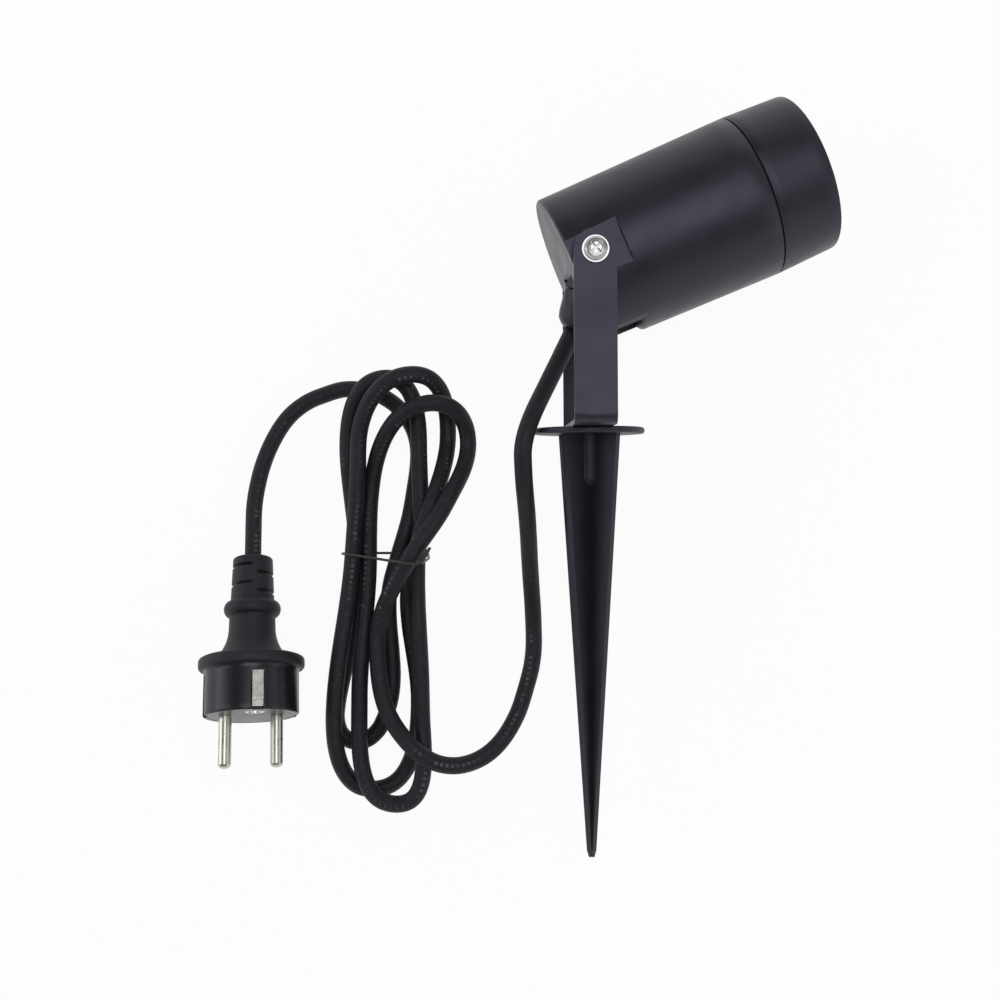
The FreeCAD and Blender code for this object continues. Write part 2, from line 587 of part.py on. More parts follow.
def earth_screw():
    """The earth screw in the rear wall."""
    screw = slotted_screw(SMALL_SCREW_HEAD_R - 0.3, SMALL_SCREW_HEAD_T, SMALL_SCREW_R, REAR_WALL / 2 - 0.1)
    at = V(CAVITY_BACK, EARTH_Y, EARTH_Z)
    return placed(screw, FreeCAD.Placement(at, FreeCAD.Rotation(Z_AXIS, X_AXIS)))


# =====================================================================================================
# Bracket and spike, in the bracket frame
# =====================================================================================================
FLANGE_TOP = -FLANGE_AT + FLANGE_T / 2
BASE_LOW = FLANGE_TOP + FACE_GAP
BASE_TOP = BASE_LOW + STRAP_T


def u_profile(offset, bend):
    """The bracket's outline seen along X, moved inwards by offset, as a face in the YZ plane."""
    half, low, top = ARM_OUTER - offset, BASE_LOW + offset, STRAP_W
    corner = bend * (1 - math.sqrt(0.5))
    left = [V(0, top, -half), V(0, low + bend, -half),
            V(0, low + corner, -half + corner), V(0, low, -half + bend)]
    right = [V(0, p.y, -p.z) for p in reversed(left)]
    edges = [Part.LineSegment(left[0], left[1]).toShape(), Part.Arc(left[1], left[2], left[3]).toShape(),
             Part.LineSegment(left[3], right[0]).toShape(), Part.Arc(right[0], right[1], right[2]).toShape(),
             Part.LineSegment(right[2], right[3]).toShape(), Part.LineSegment(right[3], left[0]).toShape()]
    return Part.Face(Part.Wire(edges))


def yoke():
    """The strap bracket: a U with rounded arm ends, pivot holes and a bolt hole."""
    strap = u_profile(0, BEND_R).cut(u_profile(STRAP_T, BEND_R - STRAP_T)).extrude(V(STRAP_W, 0, 0))
    strap.translate(V(-STRAP_W / 2, 0, 0))
    half = STRAP_W / 2
    outline = slab((-half, half), (-FLANGE_AT, 0), (-ARM_OUTER, ARM_OUTER))
    outline = outline.fuse(rod(half, V(0, 0, -ARM_OUTER), V(0, 0, ARM_OUTER)))
    pivot = rod(PIVOT_SHAFT_R + FIT, V(0, 0, -2 * ARM_OUTER), V(0, 0, 2 * ARM_OUTER))
    bolt = rod(BOLT_R + FIT, V(0, BASE_LOW - 1, 0), V(0, BASE_TOP + 1, 0))
    return strap.common(outline).cut([pivot, bolt])


def fin_plate(barbed):
    """Two opposite fins of the spike as one tapered plate in the XY plane."""
    top, tip = -FLANGE_AT, -SPIKE_TIP
    slope = (FIN_R - FIN_TIP_R) / (SPIKE_TIP - TIP_POINT - FLANGE_AT)

    def edge_at(depth):
        return FIN_R - slope * (depth - FLANGE_AT)

    side = [V(FIN_R, top, 0)]
    if barbed:
        side += [V(edge_at(BARB_AT) - BARB_STEP, -BARB_AT, 0),
                 V(edge_at(BARB_AT + BARB_RAMP) + BARB_STEP / 2, -BARB_AT - BARB_RAMP, 0)]
    side += [V(FIN_TIP_R, tip + TIP_POINT, 0), V(0.4, tip, 0)]
    other = [V(-p.x, p.y, 0) for p in reversed(side)]
    plate = face_of(side + other).extrude(V(0, 0, FIN_T))
    plate.translate(V(0, 0, -FIN_T / 2))
    return plate


def spike():
    """Flange, cross-section blade with a barb, and the boss that takes the bolt's insert."""
    low = -FLANGE_AT - FLANGE_T / 2
    disc = rod(FLANGE_R, V(0, low, 0), V(0, FLANGE_TOP, 0))
    disc = disc.makeChamfer(FLANGE_T * 0.25, [e for e in disc.Edges if e.Closed])
    plates = [turned_copy(fin_plate(True), Y_AXIS, 45), turned_copy(fin_plate(False), Y_AXIS, -45)]
    boss_end = low - BOSS_LENGTH
    boss = rod(BOSS_R, V(0, boss_end, 0), V(0, -FLANGE_AT, 0))
    cone = Part.makeCone(BOSS_R, BOSS_R * 0.35, BOSS_CONE, V(0, boss_end, 0), V(0, -1, 0))
    bolt_hole = rod(BOLT_R + FIT, V(0, low - 1, 0), V(0, 0, 0))
    insert_hole = rod(INSERT_R, V(0, low - INSERT_LENGTH - 1.0, 0), V(0, low - 1.0, 0))
    return fused([disc, boss, cone] + plates).cut([bolt_hole, insert_hole])


def threaded_insert():
    """The brass insert in the spike's boss, with a knurl groove."""
    top = -FLANGE_AT - FLANGE_T / 2 - 1.0
    middle = top - INSERT_LENGTH / 2
    body = rod(INSERT_R, V(0, top - INSERT_LENGTH, 0), V(0, top, 0))
    groove = tube(INSERT_R + 1, INSERT_R - 0.4, V(0, middle - 0.7, 0), V(0, middle + 0.7, 0))
    return body.cut([groove, rod(BOLT_R + FIT, V(0, top - 2 * INSERT_LENGTH, 0), V(0, 0, 0))])


def spike_bolt():
    """The bolt that the bracket swivels on."""
    screw = pan_screw(BOLT_HEAD_R, BOLT_HEAD_T, BOLT_R, BOLT_LENGTH)
    at = V(0, BASE_TOP + FACE_GAP + BOLT_WASHER_T, 0)
    return placed(screw, FreeCAD.Placement(at, FreeCAD.Rotation(Z_AXIS, Y_AXIS)))


def bolt_washer():
    """The washer under the bolt's head."""
    low = BASE_TOP + FACE_GAP
    return tube(BOLT_WASHER_R, BOLT_R + FIT, V(0, low, 0), V(0, low + BOLT_WASHER_T, 0))


# =====================================================================================================
# Mains plug, in the plug frame
# =====================================================================================================
def relief_slots():
    """Half-round flexing slots, cut from both sides of the strain relief."""
    slots = []
    for i, (z, side) in enumerate([(4.2, -1), (7.2, 1), (10.4, -1), (13.4, 1)]):
        ring = tube(2 * PLUG_RELIEF_R[1], CORD_D / 2 + 1.6, V(0, 0, z), V(0, 0, z + 1.5))
        half = slab((0, side * 20) if side > 0 else (-20, 0), (-20, 20), (z - 1, z + 3))
        slots.append(ring.common(half))
    return slots


def plug_body():
    """The moulded body: strain relief, collar, waist, grip flange and the round plug part."""
    low_r, high_r = PLUG_RELIEF_R
    neck = PLUG_RELIEF_LENGTH
    flange_low, flange_high = PLUG_FLANGE
    floor = PLUG_FACE - PLUG_FACE_T
    relief = [(0, 0), (0, low_r - 0.8), (0.8, low_r), (neck, high_r)]
    collar = [(neck + 0.5, PLUG_COLLAR_R - 0.8), (neck + 1.3, PLUG_COLLAR_R), (neck + 5.4, PLUG_COLLAR_R)]
    waist = [(neck + 6.4, PLUG_NECK_R + 0.3), (neck + 8.4, PLUG_NECK_R), (neck + 13.0, PLUG_NECK_R + 0.2),
             (neck + 17.5, PLUG_COLLAR_R), (flange_low - 1.6, PLUG_COLLAR_R + 1.9),
             (flange_low - 0.4, PLUG_BODY_R - 1.2)]
    flange = [(flange_low, PLUG_FLANGE_R - 0.8), (flange_low + 0.8, PLUG_FLANGE_R),
              (flange_high - 0.8, PLUG_FLANGE_R), (flange_high, PLUG_FLANGE_R - 0.8)]
    front = [(flange_high, PLUG_BODY_R), (PLUG_FACE - 0.8, PLUG_BODY_R), (PLUG_FACE, PLUG_BODY_R - 0.8),
             (PLUG_FACE, PLUG_FACE_R), (floor, PLUG_FACE_R), (floor, 0)]
    shell = turned_z(relief + collar + waist + flange + front)
    back = PLUG_FACE - EARTH_TUBE_DEPTH
    socket = rod(EARTH_TUBE_R, V(0, EARTH_HOLE_AT, back), V(0, EARTH_HOLE_AT, PLUG_FACE))
    shell = shell.cut(relief_slots() + [socket])
    for side in (-1, 1):
        x = side * (PLUG_BODY_R - 0.6)
        shell = shell.cut(slab((x - 1.0, x + 1.0), (-2.6, 2.6), (flange_high + 2.0, PLUG_FACE + 1)))
        y = side * PLUG_BODY_R
        low, high = sorted((y - side * EARTH_STRIP_T, y + side * 1.0))
        half = EARTH_STRIP_W / 2 + 0.05
        shell = shell.cut(slab((-half, half), (low, high), (PLUG_FACE - EARTH_STRIP_L, PLUG_FACE + 1)))
    return shell


def plug_face():
    """The face plate that the pins and the earth socket stand in."""
    face = rod(PLUG_FACE_R, V(0, 0, PLUG_FACE - PLUG_FACE_T), V(0, 0, PLUG_FACE))
    holes = [rod(PIN_FOOT_R, V(x, 0, 0), V(x, 0, 2 * PLUG_FACE)) for x in (-PIN_PITCH / 2, PIN_PITCH / 2)]
    socket = rod(EARTH_TUBE_R, V(0, EARTH_HOLE_AT, 0), V(0, EARTH_HOLE_AT, 2 * PLUG_FACE))
    return face.cut(holes + [socket])


def plug_pins():
    """Two round pins with domed ends, on thinner feet that pass through the face plate."""
    back, start, end = PLUG_FACE - PLUG_FACE_T, PLUG_FACE + PIN_FOOT_UP, PLUG_FACE + PIN_LENGTH
    pin = turned_z([(back, 0), (back, PIN_FOOT_R), (start, PIN_FOOT_R), (start, PIN_R),
                    (end - PIN_DOME, PIN_R), (end - 0.6, PIN_R * 0.85), (end, PIN_R * 0.4), (end, 0)])
    pin.translate(V(PIN_PITCH / 2, 0, 0))
    return [pin, pin.mirror(V(0, 0, 0), X_AXIS)]


def plug_earth_clips():
    """The two earth contacts, bright strips let into opposite sides of the plug part."""
    strip = slab((-EARTH_STRIP_W / 2, EARTH_STRIP_W / 2), (-PLUG_BODY_R, -PLUG_BODY_R + EARTH_STRIP_T),
                 (PLUG_FACE - EARTH_STRIP_L, PLUG_FACE - 1.0))
    rib = slab((-EARTH_STRIP_W / 2, EARTH_STRIP_W / 2), (-PLUG_BODY_R - 0.5, -PLUG_BODY_R + 0.1),
               (PLUG_FACE - 9.0, PLUG_FACE - 4.0))
    strip = strip.fuse(rib)
    return [strip, strip.mirror(V(0, 0, 0), Y_AXIS)]


def plug_earth_socket():
    """The tube that takes a socket's earth pin."""
    back, front = PLUG_FACE - EARTH_TUBE_DEPTH, PLUG_FACE
    return tube(EARTH_TUBE_R, EARTH_HOLE_R, V(0, EARTH_HOLE_AT, back), V(0, EARTH_HOLE_AT, front))


# =====================================================================================================
# Where the lamp and the plug lie
# =====================================================================================================
def circle_points(placement, along_axis, radius, count=720):
    """Points on a circle round a placement's X axis."""
    turns = [2 * math.pi * i / count for i in range(count)]
    return [placement.multVec(V(along_axis, radius * math.cos(a), radius * math.sin(a))) for a in turns]


def lowest(points, up):
    """The point that reaches furthest down."""
    return min(points, key=lambda p: p.dot(up))


def rest_on(contacts, up):
    """The direction that is up when all contact shapes touch the same plane."""
    for _ in range(60):
        a, b, c = [lowest(points, up) for points in contacts]
        normal = (b - a).cross(c - a).normalize()
        up = normal if normal.dot(up) > 0 else normal * -1
    return up, a


HEAD_FRAME = FreeCAD.Placement(V(0, 0, 0), FreeCAD.Rotation(Z_AXIS, HEAD_ANGLE))


def lamp_rest():
    """The bracket frame's place on the table, with the tilt axis above the origin."""
    quarter = [math.radians(d) for d in range(0, 91)]
    bend = [V(x, BASE_LOW + BEND_R * (1 - math.sin(a)), -ARM_OUTER + BEND_R * (1 - math.cos(a)))
            for a in quarter for x in (-STRAP_W / 2, STRAP_W / 2)]
    down = FreeCAD.Placement(V(0, 0, 0), FreeCAD.Rotation(X_AXIS, V(0, 0, -1)))
    head = [(PIVOT_HEAD_T * 0.45, PIVOT_HEAD_R), (PIVOT_HEAD_T * 0.85, PIVOT_HEAD_R * 0.8),
            (PIVOT_HEAD_T, PIVOT_HEAD_R * 0.45)]
    screw = [p for t, r in head for p in circle_points(down, PIVOT_HEAD_AT + t, r)]
    rim = circle_points(HEAD_FRAME, RING_FRONT, RING_FRONT_R - 0.3)
    rim += circle_points(HEAD_FRAME, RING_FRONT - 0.3, RING_FRONT_R)
    up, touch = rest_on([bend, screw, rim], Z_AXIS)
    forward = (Y_AXIS - up * Y_AXIS.dot(up)).normalize()
    side = forward.cross(up)
    turn = FreeCAD.Matrix(side.x, side.y, side.z, 0, forward.x, forward.y, forward.z, 0,
                          up.x, up.y, up.z, -touch.dot(up), 0, 0, 0, 1)
    return FreeCAD.Placement(turn)


def plug_rest():
    """The plug's place: it lies on its grip flange and its strain relief, pins raised."""
    radius_gain = PLUG_FLANGE_R - PLUG_RELIEF_R[0]
    tilt = math.atan(radius_gain / PLUG_FLANGE[0])
    plan = math.radians(PLUG_HEADING)
    axis = V(math.sin(plan) * math.cos(tilt), -math.cos(plan) * math.cos(tilt), math.sin(tilt))
    height = PLUG_RELIEF_R[0] * math.cos(tilt) - 0.8 * math.sin(tilt)
    lay = FreeCAD.Rotation(Z_AXIS, axis)
    level = lay.multVec(X_AXIS)
    side = axis.cross(Z_AXIS).normalize()
    spin = math.degrees(level.getAngle(side))
    if level.cross(side).dot(axis) < 0:
        spin = -spin
    turn = FreeCAD.Rotation(axis, spin + PLUG_TURN)
    return FreeCAD.Placement(V(PLUG_AT[0], PLUG_AT[1], height), turn.multiply(lay))


# =====================================================================================================
# The cord: points in plan from the tilt axis, heights from the surface
# =====================================================================================================
def rounded_run(points):
    """Straight runs between points with arcs at the corners, and the arcs' radii."""
    edges, radii = [], []
    start = points[0]
    for before, corner, after in zip(points, points[1:], points[2:]):
        back = (before - corner).normalize()
        ahead = (after - corner).normalize()
        half_turn = (math.pi - back.getAngle(ahead)) / 2
        shorter = min((before - corner).Length, (after - corner).Length)
        reach = 0.45 * shorter
        radius = reach / math.tan(half_turn)
        bend_in, bend_out = corner + back * reach, corner + ahead * reach
        inward = (back + ahead).normalize()
        middle = corner + inward * (radius / math.cos(half_turn) - radius)
        edges.append(Part.LineSegment(start, bend_in).toShape())
        edges.append(Part.Arc(bend_in, middle, bend_out).toShape())
        radii.append(radius)
        start = bend_out
    edges.append(Part.LineSegment(start, points[-1]).toShape())
    return edges, radii


def arc_through(start, heading, end):
    """The middle point and radius of the arc that leaves a point in a heading and reaches another."""
    chord = end - start
    straight = V(chord).normalize()
    across = heading - straight * heading.dot(straight)
    half_angle = math.atan2(across.Length, heading.dot(straight))
    rise = chord.Length / 2 * math.tan(half_angle / 2)
    middle = (start + end) * 0.5 + V(across).normalize() * rise
    return middle, chord.Length / 2 / math.sin(half_angle)


def biarc(start, heading, end, end_heading):
    """Two arcs that join two points with given headings, and their radii."""
    span = end - start
    square = 2 * (heading.dot(end_heading) - 1)
    linear = -2 * span.dot(heading + end_heading)
    if abs(square) < 1e-9:
        reach = -span.dot(span) / linear
    else:
        root = math.sqrt(linear * linear - 4 * square * span.dot(span))
        reaches = sorted([(-linear + root) / (2 * square), (-linear - root) / (2 * square)])
        reach = reaches[1] if reaches[0] < 0 else reaches[0]
    joint = (start + heading * reach + end - end_heading * reach) * 0.5
    first, first_r = arc_through(start, heading, joint)
    second, second_r = arc_through(end, end_heading * -1, joint)
    edges = [Part.Arc(start, first, joint).toShape(), Part.Arc(joint, second, end).toShape()]
    return edges, [first_r, second_r]


def cord_tube(edges, start, heading):
    """The cord's solid along a path."""
    ring = Part.Wire(Part.makeCircle(CORD_D / 2, start, heading))
    return Part.Wire(edges).makePipeShell([ring], True, False)


def heading_of(degrees, slope=0.0):
    """A unit vector from its direction in plan and its slope."""
    angle = math.radians(degrees)
    return V(math.cos(angle), math.sin(angle), slope).normalize()


def hank_stations():
    """The hank's stations as points and headings."""
    stations = []
    for x, y, height, degrees, slope in HANK:
        stations.append((V(x, y, height), heading_of(degrees, slope)))
    first, last = stations[0], stations[-1]
    lead_in = (first[0] - first[1] * CORD_D, first[1])
    lead_out = (last[0] + last[1] * CORD_D, last[1])
    return [lead_in] + stations + [lead_out]


def hank_edges():
    """The hank's path: a straight diameter at both ends and arcs from station to station between them."""
    stations = hank_stations()
    edges = [Part.LineSegment(stations[0][0], stations[1][0]).toShape()]
    radii = []
    for (a, heading_a), (b, heading_b) in zip(stations[1:-2], stations[2:-1]):
        arcs, bends = biarc(a, heading_a, b, heading_b)
        edges += arcs
        radii += bends
    edges.append(Part.LineSegment(stations[-2][0], stations[-1][0]).toShape())
    return edges, radii


def least_self_gap(edges):
    """The least distance between the surfaces of two runs of the cord that are not neighbours along it."""
    points = []
    for edge in edges:
        count = max(3, int(edge.Length / 1.6) + 1)
        steps = edge.discretize(Number=count)
        if points and (points[-1] - steps[0]).Length > (points[-1] - steps[-1]).Length:
            steps.reverse()
        points += steps[1:] if points else steps
    travelled = [0.0]
    for a, b in zip(points, points[1:]):
        travelled.append(travelled[-1] + (b - a).Length)
    flat = [(p.x, p.y, p.z, s) for p, s in zip(points, travelled)]
    least = 1e9
    for i, (x, y, z, s) in enumerate(flat):
        for u, v, w, t in flat[i + 1:]:
            if t - s > 3 * CORD_D:
                least = min(least, (x - u) ** 2 + (y - v) ** 2 + (z - w) ** 2)
    return math.sqrt(least) - CORD_D


def report_cord(name, solid, edges, radii):
    """Prints a cord's length, tightest bends and volume against section times length."""
    length = sum(e.Length for e in edges)
    plain = math.pi * CORD_D ** 2 / 4 * length
    print(name, "length %.0f mm, volume ratio %.4f" % (length, solid.Volume / plain))
    print("  radii", " ".join("%.0f" % min(r, 999) for r in radii))


def cable_hank():
    """The folded cord as one unbroken tube."""
    edges, radii = hank_edges()
    start, heading = hank_stations()[0]
    solid = cord_tube(edges, start, heading)
    report_cord("cable_hank", solid, edges, radii)
    print("  least gap to itself %.2f mm" % least_self_gap(edges))
    return solid


def lead(name, points):
    """A free stretch of the cord."""
    edges, radii = rounded_run(points)
    solid = cord_tube(edges, points[0], points[1] - points[0])
    report_cord(name, solid, edges, radii)
    return solid


def lamp_lead(gland_end, gland_heading):
    """The cord from the hank, up and over the spike's flange, to the gland."""
    start, heading = hank_stations()[-1]
    points = [start, start + heading * LEAD_END_RUN] + [V(*p) for p in LAMP_LEAD]
    points += [gland_end + gland_heading * LEAD_GLAND_RUN, gland_end]
    return lead("lamp_lead", points)


def plug_lead(plug):
    """The cord from the plug's strain relief to the hank."""
    start = plug.multVec(V(0, 0, 0))
    back = side_of(plug, Z_AXIS * -1)
    end, heading = hank_stations()[0]
    points = [start, start + back * LEAD_PLUG_RUN] + [V(*p) for p in PLUG_LEAD]
    points += [end - heading * LEAD_START_RUN, end]
    return lead("plug_lead", points)


def cable_tie():
    """A thin wire drawn round the hank's waist, with its ends twisted together into a short tail."""
    reach = CORD_D / 2 + TIE_R + TIE_GAP
    corners = [V(x, WAIST_Y, z) for x, z in TIE_ROUND]
    loop = Part.makePolygon(corners + [corners[0]]).makeOffset2D(reach, 0, False, False, False)
    begin = loop.OrderedEdges[0]
    start = begin.valueAt(begin.FirstParameter)
    ring = Part.Wire(Part.makeCircle(TIE_R, start, begin.tangentAt(begin.FirstParameter)))
    band = loop.makePipeShell([ring], True, False)
    knot = corners[TIE_KNOT_AT] + V(0.8, 0, 0.6) * reach
    tail = rod(2 * TIE_R, knot, knot + V(*TIE_TAIL_HEADING).normalize() * TIE_TAIL)
    return fused([band, tail])


# =====================================================================================================
# All nodes, laid down in the shared frame
# =====================================================================================================
def head_nodes():
    """What tilts with the head, in the head frame."""
    return {
        "head_housing": head_housing(), "ring_seal": ring_seal(), "gland_body": gland_body(),
        "gland_seal": gland_seal(), "gland_nut": gland_nut(), "inlet_cable": inlet_cable(),
        "bulb_body": bulb_body(), "bulb_cover": bulb_cover(), "bulb_pins": bulb_pins(),
        "lampholder": lampholder(), "holder_plate": holder_plate(), "holder_screws": holder_screws(),
        "terminal_block": terminal_block(), "supply_wires": supply_wires(), "lamp_wires": lamp_wires(),
        "earth_screw": earth_screw(), "glass_lens": glass_lens(), "glass_gasket": glass_gasket(),
        "front_ring": front_ring(), "pivot_screws": pivot_screws(), "pivot_washers": pivot_washers(),
        "friction_spacers": friction_spacers(),
    }


def bracket_nodes():
    """What is drawn in the bracket frame."""
    return {
        "yoke": yoke(), "spike": spike(), "spike_bolt": spike_bolt(), "bolt_washer": bolt_washer(),
        "threaded_insert": threaded_insert(),
    }


def plug_nodes():
    """The plug's pieces, in the plug frame."""
    return {
        "plug_body": plug_body(), "plug_face": plug_face(), "plug_pins": plug_pins(),
        "plug_earth_clips": plug_earth_clips(), "plug_earth_socket": plug_earth_socket(),
    }


def as_list(shape):
    """A node's solids as a list."""
    return list(shape) if isinstance(shape, (list, tuple)) else [shape]


def moved(nodes, placement):
    """Nodes laid down by a placement."""
    return {name: [placed(s, placement) for s in as_list(shape)] for name, shape in nodes.items()}


def floor_centre(nodes):
    """The middle of the nodes' common box, at its bottom."""
    boxes = [s.optimalBoundingBox(False) for solids in nodes.values() for s in solids]
    x = (min(b.XMin for b in boxes) + max(b.XMax for b in boxes)) / 2
    y = (min(b.YMin for b in boxes) + max(b.YMax for b in boxes)) / 2
    return V(x, y, min(b.ZMin for b in boxes))


def all_nodes():
    """Every node in the shared frame, and the places that the record needs."""
    rest = lamp_rest()
    head_place = rest.multiply(HEAD_FRAME)
    nodes = moved(bracket_nodes(), rest)
    nodes.update(moved(head_nodes(), head_place))
    origin = floor_centre(nodes)
    gland_end = head_place.multVec(GLAND_FRAME.multVec(V(0, 0, GLAND_END)))
    gland_heading = head_place.Rotation.multVec(OUTLET_DIR)
    plug = plug_rest()
    nodes.update(moved(plug_nodes(), plug))
    nodes["plug_lead"] = [plug_lead(plug)]
    nodes["cable_hank"] = [cable_hank()]
    nodes["lamp_lead"] = [lamp_lead(gland_end, gland_heading)]
    nodes["cable_tie"] = [cable_tie()]
    shift = FreeCAD.Placement(origin * -1, FreeCAD.Rotation())
    nodes = moved(nodes, shift)
    report_frame(shift.multiply(rest), shift.multiply(head_place), shift.multiply(plug), gland_end - origin)
    return nodes


def report_frame(bracket, head, plug, gland_end):
    """Prints the points and axes that the record gives."""
    print("tilt axis at", text(bracket.multVec(V(0, 0, 0))), "axis", text(side_of(bracket, Z_AXIS), 5))
    flange = bracket.multVec(V(0, -FLANGE_AT, 0))
    print("spike axis at", text(flange), "axis", text(side_of(bracket, Y_AXIS), 5))
    print("head axis at", text(head.multVec(V(RING_FRONT, 0, 0))), "axis", text(side_of(head, X_AXIS), 5))
    print("gland end", text(gland_end), "heading", text(side_of(head, OUTLET_DIR), 5))
    print("plug origin", text(plug.multVec(V(0, 0, 0))))
    print("plug axis", text(side_of(plug, Z_AXIS), 5))
    half = PLUG_FACE + (PIN_FOOT_UP + PIN_LENGTH - PIN_DOME) / 2
    pins = [plug.multVec(V(x, 0, half)) for x in (-PIN_PITCH / 2, PIN_PITCH / 2)]
    print("pins at", text(pins[0], 3), text(pins[1], 3))
    print("earth bore at", text(plug.multVec(V(0, EARTH_HOLE_AT, PLUG_FACE - EARTH_TUBE_DEPTH / 2)), 3))
    tip = bracket.multVec(V(0, -SPIKE_TIP, 0))
    print("spike tip", text(tip, 3), "axis", text(side_of(bracket, Y_AXIS * -1), 5))


def text(v, digits=2):
    """A vector in short."""
    return "(%.*f, %.*f, %.*f)" % (digits, v.x, digits, v.y, digits, v.z)


def write_parts():
    """Writes one file per node."""
    os.makedirs("parts", exist_ok=True)
    for name, solids in sorted(all_nodes().items()):
        shape = solids[0] if len(solids) == 1 else Part.makeCompound(solids)
        if not shape.isValid():
            print("not valid:", name)
        shape.exportStep("parts/%s.step" % name)


write_parts()
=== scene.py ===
"""Looks of the garden spike spotlight that lies on a pale floor with its folded mains lead."""
import json
import math

import bmesh
import bpy
from mathutils import Matrix, Vector


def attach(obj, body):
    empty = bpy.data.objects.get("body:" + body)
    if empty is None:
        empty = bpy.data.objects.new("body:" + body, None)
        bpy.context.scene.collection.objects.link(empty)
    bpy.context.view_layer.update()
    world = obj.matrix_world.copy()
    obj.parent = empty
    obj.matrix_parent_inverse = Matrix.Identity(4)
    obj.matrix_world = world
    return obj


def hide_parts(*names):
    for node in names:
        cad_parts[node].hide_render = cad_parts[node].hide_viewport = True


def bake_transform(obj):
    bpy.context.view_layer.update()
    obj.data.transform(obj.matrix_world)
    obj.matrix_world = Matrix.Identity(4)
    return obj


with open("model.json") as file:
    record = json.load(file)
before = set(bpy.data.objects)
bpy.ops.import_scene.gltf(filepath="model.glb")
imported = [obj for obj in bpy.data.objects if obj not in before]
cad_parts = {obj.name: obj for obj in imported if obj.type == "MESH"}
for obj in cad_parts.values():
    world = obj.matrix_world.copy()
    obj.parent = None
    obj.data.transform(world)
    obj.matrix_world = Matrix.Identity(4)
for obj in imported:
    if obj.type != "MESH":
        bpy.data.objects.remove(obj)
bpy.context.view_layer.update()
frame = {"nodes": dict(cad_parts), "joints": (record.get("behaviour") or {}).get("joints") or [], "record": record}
NODES = frame["nodes"]
SCENE = bpy.context.scene
MM = 0.001

# ---- where things are: metres, in the row frame ----
UP = Vector((0, 0, 1))
TILT = Vector(next(joint["pos_m"] for joint in frame["joints"] if joint["name"] == "head_tilt"))
GLAND_END = Vector((-0.03946, 0.05446, 0.03401))
GLAND_OUT = Vector((-0.43930, -0.89834, 0.00269)).normalized()
PLUG_ORIGIN = Vector((-0.16671, -0.02832, 0.00702))
PLUG_AXIS = Vector((0.08657, -0.95127, 0.29595)).normalized()
PLUG_PINS = [Vector((-0.152013, -0.095956, 0.023882)), Vector((-0.169188, -0.095008, 0.031951))]
PLUG_X = (PLUG_PINS[1] - PLUG_PINS[0]).normalized()
PLUG_Y = PLUG_AXIS.cross(PLUG_X).normalized()
CORD_R = 3.2 * MM


def plan(x, y, z):
    """A point given in millimetres: in plan from the tilt axis, its height from the floor."""
    return Vector((TILT.x + x * MM, TILT.y + y * MM, z * MM))


# ---- camera ----
CAMERA_AT = (-0.027578, -0.016634, 0.432764)
CAMERA_BACK = Vector((0.09661, -0.02539, 0.995))
CAMERA_UP = Vector((0.00652, 0.99967, 0.02488))
FOCAL_PX, PICTURE_PX = 1109.0, 1000
SENSOR_WIDTH = 36.0
NEAREST, FURTHEST = 0.01, 20


def add_camera():
    """The photograph's viewpoint: from above, a little towards the side of the lamp's head."""
    data = bpy.data.cameras.new("camera")
    camera = bpy.data.objects.new("camera", data)
    SCENE.collection.objects.link(camera)
    back = CAMERA_BACK.normalized()
    right = CAMERA_UP.cross(back).normalized()
    up = back.cross(right)
    rows = [(right[i], up[i], back[i], CAMERA_AT[i]) for i in range(3)]
    camera.matrix_world = Matrix(rows + [(0, 0, 0, 1)])
    data.sensor_width = SENSOR_WIDTH
    data.lens = FOCAL_PX * SENSOR_WIDTH / PICTURE_PX
    data.clip_start, data.clip_end = NEAREST, FURTHEST
    SCENE.camera = camera


# ---- the cord's line ----
# Points of the two leads, as plan() takes them, and the straight runs at their ends.
PLUG_LEAD = [(-133.2, -82.0, 3.4), (-129.3, -65.8, 3.4), (-121.4, -51.0, 3.4)]
LAMP_LEAD = [
    (-22.2, -128.5, 3.4), (-23.0, -109.5, 10.0), (-22.6, -91.0, 27.0), (-23.0, -75.5, 42.0),
    (-23.0, -61.0, 45.5),
]
PLUG_RUN, HANK_IN_RUN, HANK_OUT_RUN, GLAND_RUN = 12.0, 4.0, 9.0, 15.0
